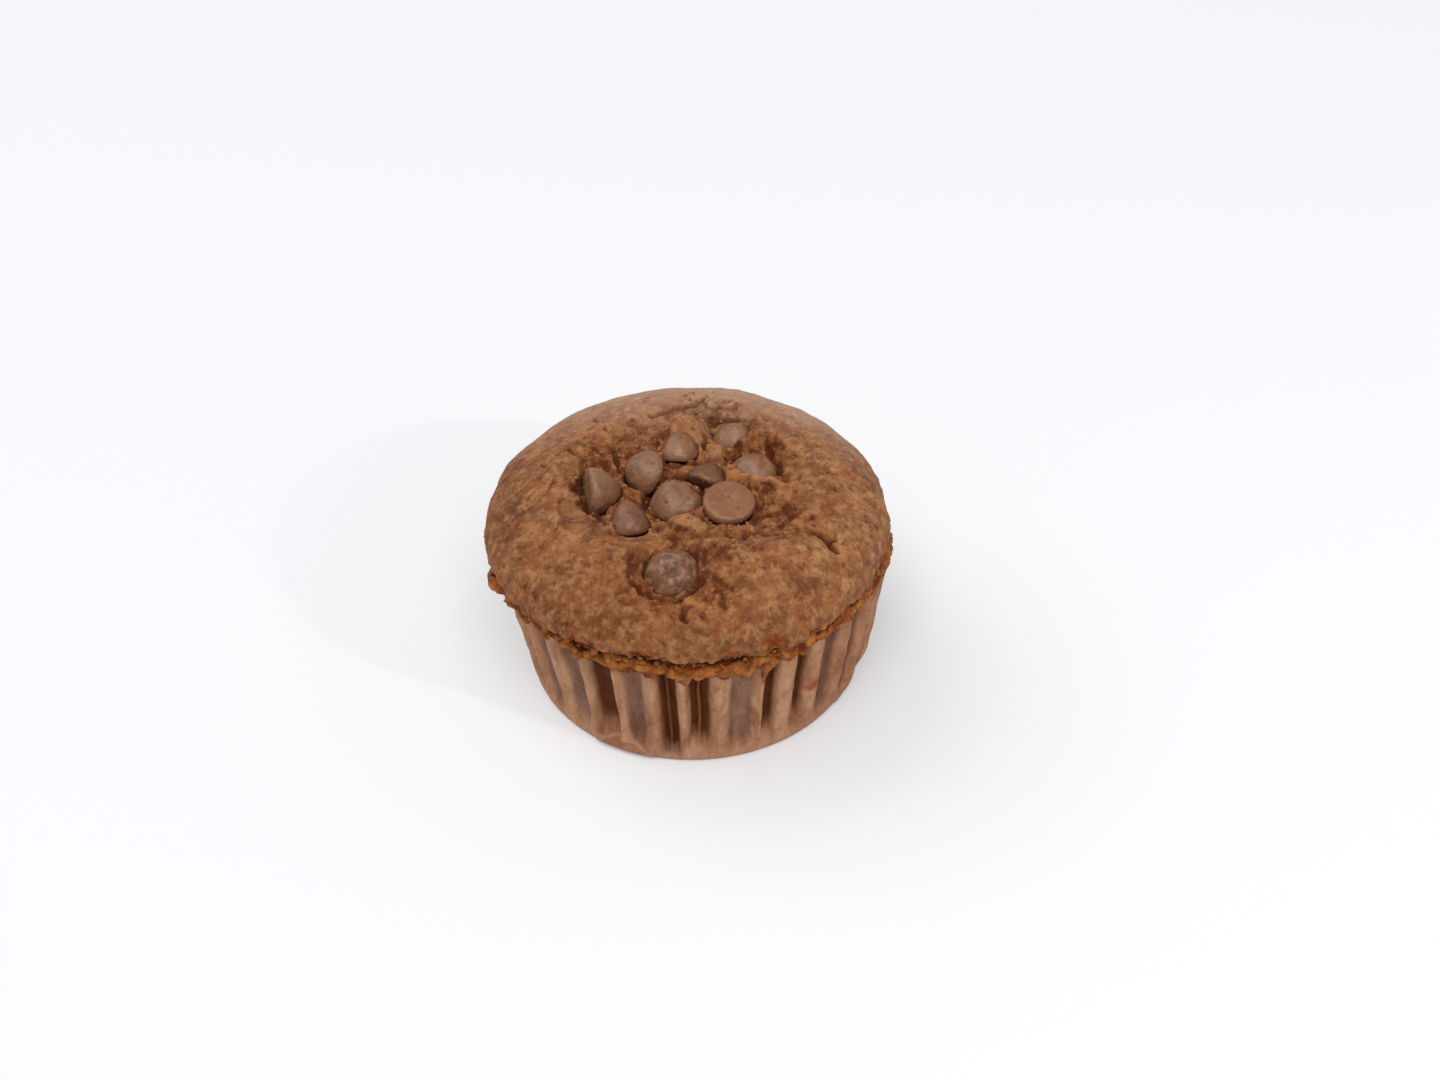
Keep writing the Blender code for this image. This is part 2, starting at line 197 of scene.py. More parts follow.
# Wider hollows of torn crumb, in the same way
PITS = (
    (((-7.4, -17.0), (-9.0, -19.8), (-8.6, -22.6)), 2.0, 1.5),
    (((-8.6, -22.4), (-7.8, -25.0), (-6.4, -26.6)), 1.5, 1.5),
)
# Cracks and small holes in the crust, in the same way
CRACKS = (
    (((21.2, -14.0), (22.6, -14.3), (23.4, -14.8), (24.8, -16.8)), 0.7, 2.4),
    (((23.0, -14.6), (24.6, -14.3)), 0.5, 1.2),
    (((-24.8, 6.4), (-23.9, 4.6)), 0.45, 0.8),
    (((-20.2, 9.8), (-19.2, 8.6)), 0.55, 1.0),
    (((-22.6, 1.0), (-23.6, -1.6)), 0.4, 0.6),
    (((-21.0, -3.0), (-21.6, -6.4), (-20.6, -10.4)), 0.4, 0.45),
    (((-16.0, 19.0), (-15.2, 17.0)), 0.45, 0.7),
    (((6.4, -25.8), (7.0, -26.2)), 0.55, 0.9),
    (((5.3, -29.2), (5.8, -29.5)), 0.5, 0.8),
    (((-1.4, -30.8), (-0.6, -31.3)), 0.65, 1.1),
    (((18.0, -21.3), (18.6, -21.6)), 0.5, 0.8),
    (((25.2, -3.0), (25.9, -3.5)), 0.5, 0.8),
    (((24.7, 1.0), (25.2, 0.8)), 0.45, 0.6),
    (((21.0, 14.6), (22.4, 13.2)), 0.4, 0.6),
    (((19.4, -24.8), (22.6, -23.0)), 0.35, 0.4),
    (((-19.6, -19.8), (-16.4, -22.0)), 0.35, 0.4),
)
# Crumb heaped over chips and in ridges: points, width and height
HEAPS = (
    (((-15.4, 6.6), (-11.8, 8.4)), 3.4, 1.5),
    (((9.6, 9.2), (12.4, 10.8), (13.4, 13.8)), 2.0, 1.3),
    (((-3.0, 14.2), (1.6, 13.4)), 2.0, 1.1),
    (((7.6, 3.6), (10.4, 1.2), (13.6, -0.2), (18.6, -3.0)), 1.6, 0.8),
    (((-4.4, 8.2), (-4.4, 6.0)), 1.2, 0.7),
    (((-12.8, -8.6), (-12.6, -11.6)), 1.5, 0.6),
    (((6.8, 9.6), (5.2, 5.8)), 1.3, 0.6),
)
# Smooth pale lumps among the crumb: points and width
PALE_LUMPS = (
    (((0.0, 16.2), (1.4, 14.0)), 4.0),
    (((5.3, 9.4), (5.3, 5.6)), 1.7),
    (((-1.4, -9.6), (1.6, -11.2)), 2.0),
    (((-13.0, -8.6), (-13.0, -10.2)), 1.3),
    (((8.2, 2.8), (13.2, 0.4), (18.4, -2.8)), 1.3),
    (((-1.0, 8.6), (1.0, 8.4)), 0.8),
)


# Length and seed of the noises that bend those lines, across and along
LINE_WAVES = (((0.9, 21.0), (2.4, 23.0)), ((0.9, 22.0), (2.4, 24.0)))
# Fine relief, as height, length and seed of each layer of noise
TORN_EDGE_LAYERS = ((3.6, 5.0, 11.0), (2.0, 2.2, 12.0), (0.9, 0.9, 13.0))
CRUST_LAYERS = ((0.18, 5.5, 30.0), (0.16, 2.7, 31.0), (0.13, 1.3, 32.0), (0.08, 0.7, 33.0))
FLAKE_LAYERS = ((0.6, 3.0, 45.0), (0.4, 1.2, 47.0))
RUN_LAYERS = ((1.0, 2.8, 61.0), (0.6, 1.2, 62.0))
BRIDGE_LAYERS = ((0.8, 2.6, 64.0), (0.6, 1.0, 65.0))
CHIP_LAYERS = ((0.2, 3.6, 100.0), (0.08, 1.4, 120.0), (0.03, 0.6, 130.0))
# Grains of torn crumb: height, size, unevenness and seed
CRUMB_GRAINS = ((0.5, 2.3, 1.4, 0.0), (0.22, 1.1, 1.0, 3.0))
# Pores in the crust: depth, spacing, rarity, size and seed
CRUST_PORES = ((0.5, 2.6, 0.16, 0.6, 34.0), (0.3, 1.4, 0.2, 0.4, 35.0))
FAR = 1e9


def smoothstep(low, high, value):
    """0 below low, 1 above high and a smooth rise between them."""
    share = np.clip((value - low) / (high - low), 0.0, 1.0)
    return share * share * (3.0 - 2.0 * share)


def falling(low, high, value):
    """1 below low, 0 above high and a smooth fall between them."""
    return 1.0 - smoothstep(low, high, value)


def degrees_between(azimuth, other):
    """The smaller angle between azimuths."""
    return np.abs((azimuth - other + 180.0) % 360.0 - 180.0)


def around(azimuth, middle, start, end):
    """1 near the azimuth middle, falling to 0 between these distances from it, in degrees."""
    return falling(start, end, degrees_between(azimuth, middle))


def rises(azimuth, rows, core):
    """Rises round the cake, one line of numbers for each azimuth, half width and height in rows.

    The core is the share of the half width where a rise is full.
    """
    return np.array([height * around(azimuth, middle, core * half_width, half_width)
                     for middle, half_width, height in rows])


def stack(*columns):
    """Points as rows, from one array or number for each coordinate."""
    return np.stack(np.broadcast_arrays(*columns), -1).astype(float)


def on_circle(radius, azimuth, height, shift=0.0):
    """Points at azimuths round a vertical axis that stands at x = shift."""
    turn = np.radians(azimuth)
    return stack(shift + radius * np.sin(turn), -radius * np.cos(turn), height)


def azimuth_of(points):
    """Azimuth of points round the vertical axis."""
    return np.degrees(np.arctan2(points[:, 0], -points[:, 1]))


def smooth_noise(points, length, seed=0.0):
    """Gradient noise from -1 to 1 with features of about that length."""
    places = points / length + seed
    return np.array([noise.noise(place) for place in places.tolist()])


def layered(points, layers, further=0.0):
    """Sum of smooth noises, each given by its height, length and seed."""
    return sum(height * smooth_noise(points, length, seed + further) for height, length, seed in layers)


def rough_noise(points, length, seed):
    """Fractal noise, roughly from -1 to 1."""
    places = points / length + seed
    return np.array([noise.fractal(place, 0.7, 2.1, 5) for place in places.tolist()])


def grains(points, length, seed=0.0):
    """Distance to the nearest grain's middle, as a share of length, and a number from -1 to 1 for that grain."""
    places = points / length + seed
    nearest = []
    chance = []
    for place in places.tolist():
        distances, middles = noise.voronoi(place)
        nearest.append(distances[0])
        chance.append(noise.noise(middles[0] * 7.3))
    return np.array(nearest), np.array(chance)


def pores(points, length, rarity, size, seed):
    """1 in small round pores, 0 elsewhere: a grain has one where its number is above rarity."""
    nearest, chance = grains(points, length, seed)
    return (chance > rarity) * falling(0.35 * size, size, nearest * length)


def new_mesh(name, points, faces):
    """A smooth mesh object from points in millimetres."""
    mesh = bpy.data.meshes.new(name)
    mesh.from_pydata((np.asarray(points) * MM).tolist(), [], faces)
    mesh.shade_smooth()
    mesh.update()
    made = bpy.data.objects.new(name, mesh)
    bpy.context.scene.collection.objects.link(made)
    return made


def add_values(piece, **values):
    """Stores numbers for each point, which the piece's material reads by name."""
    for name, numbers in values.items():
        attribute = piece.data.attributes.new(name, "FLOAT", "POINT")
        attribute.data.foreach_set("value", np.asarray(numbers, np.float32))


def point_normals(piece):
    """Normal at each point of a mesh."""
    flat = np.zeros(len(piece.data.vertices) * 3, np.float32)
    piece.data.vertex_normals.foreach_get("vector", flat)
    return flat.reshape(-1, 3).astype(float)


def set_points(piece, points):
    """Moves a mesh's points to places in millimetres."""
    piece.data.vertices.foreach_set("co", (points * MM).astype(np.float32).ravel())
    piece.data.update()


def ring_faces(start, other, count):
    """Quads between two closed rings of count points that start at these numbers."""
    following = [(i + 1) % count for i in range(count)]
    return [(start + i, other + i, other + following[i], start + following[i]) for i in range(count)]


def fan_faces(start, tip, count):
    """Triangles that close a ring of count points with one point."""
    return [(start + i, tip, start + (i + 1) % count) for i in range(count)]


def evenly_spread(corners, count):
    """Places at even distances along an outline, as an array for each coordinate."""
    along = np.concatenate([[0.0], np.cumsum(np.linalg.norm(np.diff(corners, axis=0), axis=1))])
    places = np.linspace(0.0, along[-1], count)
    return np.interp(places, along, corners[:, 0]), np.interp(places, along, corners[:, 1])


def along_lines(points, lines, raggedness, core=0.3):
    """How deep each point lies in ragged lines that are given by points, width and depth.

    The depth is full within the core, as a share of the width.
    """
    wave = stack(*(sum(smooth_noise(points, *layer) for layer in layers) for layers in LINE_WAVES))
    ragged = points[:, :2] + raggedness * wave
    swelling = 1.0 + 0.5 * smooth_noise(points, 1.7, 25.0)
    depth = np.zeros(len(points))
    for route, width, deep in lines:
        nearest = np.full(len(points), FAR)
        for start, end in zip(route[:-1], route[1:]):
            start = np.array(start)
            run = np.array(end) - start
            share = np.clip(((ragged - start) @ run) / (run @ run), 0.0, 1.0)
            nearest = np.minimum(nearest, np.linalg.norm(ragged - start - share[:, None] * run, axis=1))
        depth = np.maximum(depth, deep * falling(core * width, width, nearest / swelling))
    return depth


# ---------------------------------------------------------------- form of the cake

def dome_height(radius):
    """Height of the plain dome over a distance from its middle."""
    share = np.minimum(radius / CRUST_RADIUS, 1.0)
    return CRUST_HEIGHT + (CAKE_HEIGHT - CRUST_HEIGHT) * np.sqrt(1.0 - share ** DOME_POWER)


def relief(x, y):
    """Height that the sunken middle, its crumb, lumps and hollows add to the dome."""
    height = SWELL_HEIGHT * smooth_noise(stack(x, y, SWELL_PLANE), SWELL_LENGTH)
    across = x - CRATER_CENTRE[0]
    along = y - CRATER_CENTRE[1]
    distance = np.hypot(across, along)
    heading = stack(across, along, 0.0) / np.maximum(distance, MM)[:, None]
    edge = CRATER_RADIUS + CRATER_WAVER * smooth_noise(CRATER_WAVES * heading, 1.0)
    height -= CRATER_DEPTH * falling(edge - CRATER_WALL, edge + CRATER_WALL, distance)
    broken = falling(edge, edge + BROKEN_WIDTH, distance)
    crumb = CRUMB_HEIGHT * smooth_noise(stack(x, y, CRUMB_PLANE), CRUMB_LENGTH)
    height += (UNBROKEN_CRUMB + broken) * crumb
    for lump_x, lump_y, radius, rise in LUMPS:
        share = np.minimum(np.hypot(x - lump_x, y - lump_y) / radius, 1.0)
        height += rise * (1.0 - share * share) ** 2
    return height


def edge_shape(azimuth, height):
    """How far the crust's edge wavers at these places, and how far the crevice opens."""
    place = on_circle(EDGE_WAVES, azimuth, 0.0)
    waver = EDGE_WAVER * smooth_noise(place + stack(0.0, 0.0, height / EDGE_WAVE_HEIGHT), 1.0)
    opening = around(azimuth, CREVICE_MIDDLE, CREVICE_HALF_WIDTH, CREVICE_HALF_WIDTH + CREVICE_FADE)
    return waver, CREVICE_OPENING * np.maximum(opening, STRAY_OPENING * smooth_noise(place, 1.0))


def crust_points(radius, azimuth, height):
    """Points of the plain turned crust, moved to the uneven baked form."""
    waver, opening = edge_shape(azimuth, height)
    edge_share = smoothstep(EDGE_START, CRUST_RADIUS, radius)
    points = on_circle(radius + waver * edge_share, azimuth, height)
    top_share = smoothstep(CRUST_HEIGHT + RELIEF_START, CRUST_HEIGHT + RELIEF_FULL, height)
    low_share = falling(CRUST_HEIGHT, CRUST_HEIGHT + CREVICE_REACH, height)
    points[:, 2] += top_share * relief(points[:, 0], points[:, 1])
    points[:, 2] += low_share * opening + waver * edge_share
    return points


def dome_rings():
    """Radii of the crust's rings: close together in the middle, wider apart near the rim."""
    dense = CRUST_RADIUS * np.sin(np.linspace(0.0, math.pi / 2.0, 4000))
    steps = np.hypot(np.diff(dense), np.diff(dome_height(dense)))
    spacing = MIDDLE_SPACING + (RIM_SPACING - MIDDLE_SPACING) * smoothstep(*SPACING_CHANGE, dense[1:])
    along = np.concatenate([[0.0], np.cumsum(steps / spacing)])
    count = int(along[-1])
    return np.interp(np.linspace(0.0, along[-1], count + 1), along, dense)


def disc_grid(count):
    """A square grid bent to a disc: ring and azimuth of each point, the quads and the outer ring's points."""
    across, along = np.meshgrid(np.arange(-count, count + 1), np.arange(-count, count + 1))
    across = across.ravel().astype(float)
    along = along.ravel().astype(float)
    ring = np.maximum(np.abs(across), np.abs(along))
    wide = np.abs(across) > np.abs(along)
    main = np.where(wide, across, along)
    other = np.where(wide, along, across)
    eighth = 45.0 * np.divide(other, main, out=np.zeros_like(other), where=main != 0)
    azimuth = np.where(wide, np.where(across > 0, 90.0, 270.0) + eighth, np.where(along > 0, 180.0, 0.0) - eighth)
    side = 2 * count + 1
    corner = np.arange(side * side).reshape(side, side)
    quads = np.stack([corner[:-1, :-1], corner[:-1, 1:], corner[1:, 1:], corner[1:, :-1]], -1).reshape(-1, 4)
    sides = (corner[0, count:-1], corner[:-1, -1], corner[-1, :0:-1], corner[:0:-1, 0], corner[0, :count])
    return ring.astype(int), azimuth % 360.0, quads.tolist(), np.concatenate(sides).tolist()


def chip_turn(chip):
    """Rotation that leans a chip's axis as its row in CHIPS says."""
    lean = math.radians(chip[5])
    towards = math.radians(chip[6])
    tip = Vector((math.sin(lean) * math.sin(towards), -math.sin(lean) * math.cos(towards), math.cos(lean)))
    return np.array(Vector((0.0, 0.0, 1.0)).rotation_difference(tip).to_matrix())


def distance_to_chip(points, chip):
    """Distance of points from a chip's surface, below 0 inside it."""
    local = (points - np.array(chip[:3])) @ chip_turn(chip)
    radius = np.hypot(local[:, 0], local[:, 1])
    level = local[:, 2]
    outline = [(share * chip[3] / 2.0, (rise - 0.5) * chip[4]) for share, rise in CHIP_OUTLINE]
    outline.append((0.0, -chip[4] / 2.0))
    deepest = np.full(len(points), -FAR)
    nearest = np.full(len(points), FAR)
    for (r1, z1), (r2, z2) in zip(outline[:-1], outline[1:]):
        length = math.hypot(r2 - r1, z2 - z1)
        along = np.clip(((radius - r1) * (r2 - r1) + (level - z1) * (z2 - z1)) / length ** 2, 0.0, 1.0)
        nearest = np.minimum(nearest, np.hypot(radius - r1 - along * (r2 - r1), level - z1 - along * (z2 - z1)))
        deepest = np.maximum(deepest, ((level - z1) * (r2 - r1) - (radius - r1) * (z2 - z1)) / length)
    return np.where(deepest > 0.0, nearest, deepest)


def crumb_height(points, seed):
    """Height of torn crumb: rounded grains of two sizes on rough ground."""
    height = 0.46 * rough_noise(points, 2.6, seed + 5.0) - 0.45
    for rise, size, unevenness, further in CRUMB_GRAINS:
        nearest, chance = grains(points, size, seed + further)
        height += rise * (1.0 - 1.3 * nearest ** 2) * (1.0 + unevenness * chance)
    return height


def broken_field(points):
    """How far inside a torn patch of the top each point lies, in ragged millimetres."""
    inside = [radius - np.hypot(points[:, 0] - x, points[:, 1] - y) for x, y, radius in BROKEN_PATCHES]
    return np.max(inside, axis=0) + layered(points, TORN_EDGE_LAYERS)


# Hollow round each chip: how much wider than a crack, and its depth
MOATS = {1: (0.2, 1.0), 2: (0.35, 1.1), 3: (0.0, 0.3), 6: (0.1, 1.0), 7: (0.5, 1.7), 8: (0.1, 0.5), 9: (0.1, 0.4),
         10: (0.6, 1.6)}
PLAIN_MOAT = (0.0, 0.7)
MOAT_WIDTH = 0.2
MOAT_WIDENING = 0.5
# How far the surface is pushed down where a chip sits
SOCKET_DEPTH = 2.6
# Where the crust's edge hangs lower over the lip: azimuth, half width and drop
SAGS = ((24.0, 17.0, 1.3), (3.0, 15.0, 0.7))
SAG_CORE = 0.3
# Side where the rim is baked darkest: its azimuth and the distances between which that fades, in degrees
TOASTED_SIDE = (-45.0, 50.0, 95.0)
# How far back the crust is painted paler and greyer as a painted sheen, and how that line slants on the left and on
# the right
BACK_SHEEN_EDGE = (13.0, 33.0)
BACK_SHEEN_SLANTS = (-0.16, 0.32)
# Heights from the crust's widest ring between which the top, the underside, the flaky low edge and the scorched
# edge start and are full
TOP_EDGE = (1.0, 4.0)
UNDER_EDGE = (0.1, -0.5)
LOW_EDGE = (2.6, 0.4)
SCORCHED_EDGE = (2.4, 0.0)
# Distances inside a torn patch between which its colour and its shape start and are full
BROKEN_EDGE = (-3.2, 1.4)
TORN_EDGE = (-1.2, 0.6)
# Radii between which the crust turns smoother, and between which it turns toasted
SMOOTH_RIM = (22.0, 32.0)
TOASTED_RIM = (22.0, 30.0)
# Radii under the crust between which it is painted dark, as painted shade
DARK_UNDERSIDE = (CRUST_RADIUS - 0.7, CRUST_RADIUS - 2.1)
# Raw reddish crumb at the rim's lower edge: azimuth, half width, height and half height
RAW_PATCHES = ((23.0, 5.5, 30.6, 1.9), (-31.0, 5.0, 29.8, 1.0), (11.0, 4.0, 29.8, 1.0), (-14.0, 5.0, 29.7, 0.8),
               (35.5, 2.4, 29.6, 0.9))
# The outline under the crust's widest ring, as radius from it and height from it
UNDER_CRUST = (
    (-0.02, -0.2), (-0.1, -0.42), (-0.25, -0.6), (-0.5, -0.72), (-0.8, -0.8), (-1.1, -0.88), (-1.4, -0.98),
    (-1.7, -1.12), (-1.95, -1.35), (-2.1, -1.7), (-2.15, -2.2), (-2.2, -3.0),
)
# Hidden body below: radius from the case's wall or foot, and height
HIDDEN_BODY = ((-3.6, 23.0), (-3.6, 7.0), (-2.5, 2.5), (-2.1, 0.9))


def plain_cake():
    """The cake before its fine surface.

    Returns its points and faces, each point's radius and height, how many points lie on the dome,
    how many show, and which of them belong to the middle piece.
    """
    rings = dome_rings()
    ring, azimuth, faces, outer = disc_grid(len(rings) - 1)
    on_dome = len(ring)
    count = len(outer)
    outer_azimuth = azimuth[outer]
    under = np.repeat(UNDER_CRUST, count, axis=0)
    radius = np.concatenate([rings[ring], CRUST_RADIUS + under[:, 0]])
    azimuth = np.concatenate([azimuth, np.tile(outer_azimuth, len(UNDER_CRUST))])
    height = np.concatenate([dome_height(rings[ring]), CRUST_HEIGHT + under[:, 1]])
    faces += [(outer[i], on_dome + i, on_dome + (i + 1) % count, outer[(i + 1) % count]) for i in range(count)]
    for step in range(len(UNDER_CRUST) - 1):
        faces += ring_faces(on_dome + step * count, on_dome + (step + 1) * count, count)
    points = crust_points(radius, azimuth, height)
    sag = rises(azimuth, SAGS, SAG_CORE).max(axis=0)
    points[:, 2] -= sag * falling(CRUST_HEIGHT + 0.5, CRUST_HEIGHT + 5.0, height)
    shown = len(points)
    for inset, level in HIDDEN_BODY:
        start = len(points) - count
        points = np.concatenate([points, on_circle(case_radius(level) + inset, outer_azimuth, level, CASE_SHIFT)])
        faces += ring_faces(start, start + count, count)
    points = np.concatenate([points, [[CASE_SHIFT, 0.0, HIDDEN_BODY[-1][1]]]])
    faces += fan_faces(start + count, len(points) - 1, count)
    hidden = np.zeros(len(points) - shown)
    in_middle = np.zeros(len(points), bool)
    in_middle[:on_dome] = ring <= np.searchsorted(rings, MIDDLE_EDGE)
    return points, faces, np.append(radius, hidden), np.append(height, hidden), on_dome, shown, in_middle


def hollows_round_chips(points, moved):
    """How near each moved point is to a chip, from 0 to 1, and how far it is lowered to make room for it."""
    moat, lowered, sunk = np.zeros((3, len(points)))
    width = MOAT_WIDTH + MOAT_WIDENING * np.maximum(smooth_noise(points, 2.4, 52.0), 0.0)
    for number, chip in enumerate(CHIPS, start=1):
        distance = distance_to_chip(moved, chip)
        wider, deep = MOATS.get(number, PLAIN_MOAT)
        near = falling(0.0, width + wider, distance)
        moat = np.maximum(moat, near)
        lowered = np.maximum(lowered, deep * near)
        sunk = np.maximum(sunk, smoothstep(0.1, -0.5, distance))
    return moat, lowered + SOCKET_DEPTH * sunk


def make_cake_top():
    """The crust with its torn middle, the hollows of the chips, its edge and the hidden body below.

    Returns the middle piece, the rim piece, and each point with its share of torn crumb and of painted shade in its
    cavities.
    """
    points, faces, radius, height, on_dome, shown, in_middle = plain_cake()
    cake = new_mesh("cake_whole", points, faces)
    above = height - CRUST_HEIGHT
    azimuth = azimuth_of(points)

    on_top = smoothstep(*TOP_EDGE, above)
    below = smoothstep(*UNDER_EDGE, above)
    low_edge = smoothstep(*LOW_EDGE, above)
    scorched = 0.75 * smoothstep(*SCORCHED_EDGE, above + 2.2 * smooth_noise(points, 2.6, 46.0))
    field = broken_field(points)
    broken = np.maximum(smoothstep(*BROKEN_EDGE, field) * on_top, np.maximum(below, scorched))
    torn = np.maximum(smoothstep(*TORN_EDGE, field) * on_top, below)
    pale = along_lines(points, [(route, width, 1.0) for route, width in PALE_LUMPS], 0.25, 0.6) * on_top
    raw = np.zeros(len(points))
    waver = 0.7 * smooth_noise(points, 1.3, 50.0)
    for middle, half_width, level, half_height in RAW_PATCHES:
        aside = degrees_between(azimuth, middle) / half_width
        raw = np.maximum(raw, falling(0.4, 1.0, np.hypot(aside, (height - level) / half_height) + waver))

    crust = layered(points, CRUST_LAYERS) * (1.0 - 0.55 * smoothstep(*SMOOTH_RIM, radius))
    pitted = sum(depth * pores(points, *pore) for depth, *pore in CRUST_PORES)
    crumb = crumb_height(points, 41.0)
    detail = (1.0 - torn) * (crust + 0.14 * broken - pitted) + torn * (0.9 * crumb - 0.1)
    detail = (1.0 - 0.7 * pale) * detail + 0.25 * pale
    detail += 0.36 * low_edge * rough_noise(points, 2.4, 44.0) + raw * (0.8 * crumb - 0.25)
    ragged = 0.75 + 0.5 * np.clip(crumb, -1.0, 1.0)
    crevice = np.maximum(along_lines(points, CREVICES, 0.4) * on_top * ragged, along_lines(points, CRACKS, 0.12))
    pit = along_lines(points, PITS, 0.4) * ragged
    moved = points + detail[:, None] * point_normals(cake)
    moved[:, 2] += low_edge * layered(points, FLAKE_LAYERS) - np.maximum(crevice, pit)
    moved[:, 2] += along_lines(points, HEAPS, 0.3, 0.0)
    moat, lowered = hollows_round_chips(points, moved)
    moved[:, 2] -= lowered
    moved[shown:] = points[shown:]
    set_points(cake, moved)

    # Painted shade: crevices, pits, the hollows round the chips, low spots of the relief and the underside of the
    # crust are painted darker; raw crumb is left lighter
    cavity = 0.7 * crevice + 0.3 * pit + 0.85 * moat + 1.6 * np.maximum(-detail - 0.12 - 0.22 * torn, 0.0)
    inside = smoothstep(*DARK_UNDERSIDE, radius) * (np.arange(len(points)) >= on_dome)
    cavity = np.clip(np.maximum(cavity, 0.75 * inside) - 0.4 * raw, 0.0, 1.0)
    # Painted light and shade: raised crumb is painted lighter, low crumb and the crumb next to the chips darker
    peak = np.clip(0.5 + 1.5 * detail - 0.3 * smoothstep(0.1, 0.8, moat), 0.0, 1.0)
    # Painted sheen: the back of the crust is painted paler and greyer, as crumb looks at a grazing angle
    far = points[:, 1] + np.where(points[:, 0] > 0.0, BACK_SHEEN_SLANTS[1], BACK_SHEEN_SLANTS[0]) * points[:, 0]
    back_sheen = smoothstep(*BACK_SHEEN_EDGE, far + 2.0 * smooth_noise(points, 6.0, 48.0)) * on_top
    toasted = smoothstep(*TOASTED_RIM, radius + 2.0 * smooth_noise(points, 7.0, 49.0))
    toasted *= around(azimuth, *TOASTED_SIDE)
    values = {"broken": broken, "cavity": cavity, "peak": peak, "pale": pale, "back_sheen": back_sheen, "toasted": toasted,
              "raw": raw}
    normals = point_normals(cake)
    bpy.data.objects.remove(cake)
    middle_faces = [all(in_middle[corner] for corner in face) for face in faces]
    middle, rim = (part_of(name, moved, normals, [face for face, own in zip(faces, middle_faces) if own == wanted],
                           values) for name, wanted in (("crust_middle", True), ("crust_rim", False)))
    return middle, rim, moved, torn * on_top, cavity


def part_of(name, points, normals, faces, values):
    """A piece with some of a larger mesh's faces, shaded as the whole is and with its stored numbers."""
    used = sorted({corner for face in faces for corner in face})
    number = dict(zip(used, range(len(used))))
    piece = new_mesh(name, points[used], [[number[corner] for corner in face] for face in faces])
    piece.data.normals_split_custom_set_from_vertices(normals[used].tolist())
    add_values(piece, **{key: numbers[used] for key, numbers in values.items()})
    return piece


# ---------------------------------------------------------------- lip below the crust

LIP_COLUMNS = 1100
LIP_POINTS = 46
# Plain outline of the lip's ring: radius from LIP_RADIUS and height from LIP_UNDERSIDE
LIP_SECTION = (
    (-3.4, 1.1), (-2.6, 1.9), (-1.7, 2.45), (-1.0, 2.6), (-0.55, 2.5), (-0.25, 2.2), (-0.08, 1.8),
    (0.0, 1.3), (0.02, 0.8), (-0.02, 0.3), (-0.12, -0.1), (-0.4, -0.35), (-1.0, -0.3), (-2.0, 0.0), (-3.4, 0.2),
)
# Runs of batter over the case: azimuth, half width in degrees and length
DRIPS = (
    (-36.0, 2.6, 1.2), (-24.0, 1.6, 0.8), (-14.0, 1.6, 0.7), (-3.6, 1.9, 2.6), (8.0, 3.4, 1.4), (12.5, 2.4, 1.9),
    (18.9, 1.3, 4.6), (27.0, 2.0, 0.8), (37.0, 2.2, 1.0), (47.0, 2.5, 1.4), (-47.0, 2.2, 1.5), (-57.0, 2.6, 1.7),
)
DRIP_CORE = 0.2
# Where the lip's top reaches up to the crust, or sinks away from it: azimuth, half width and rise
BRIDGES = (
    (-32.0, 4.5, -0.9), (-23.5, 5.0, 0.8), (-9.0, 8.0, -0.5), (8.0, 7.0, -0.5), (20.5, 4.5, 0.9), (29.0, 4.5, 0.5),
    (36.0, 2.0, -0.9),
)
BRIDGE_CORE = 0.3
# How far a run leans inwards with the case, for each mm that it hangs down
CASE_TAPER = 0.178
# Radii of the lip's outline between which its hidden inner side ends and its outside starts
LIP_OUTSIDE = (-1.5, -0.3)
LIP_INSIDE = (-2.2, -0.7)
LIP_LOW = (-0.2, 1.6)
THIN_DRIP = (0.8, 3.0)
LIP_PORES = (1.9, 0.05, 0.6, 75.0)


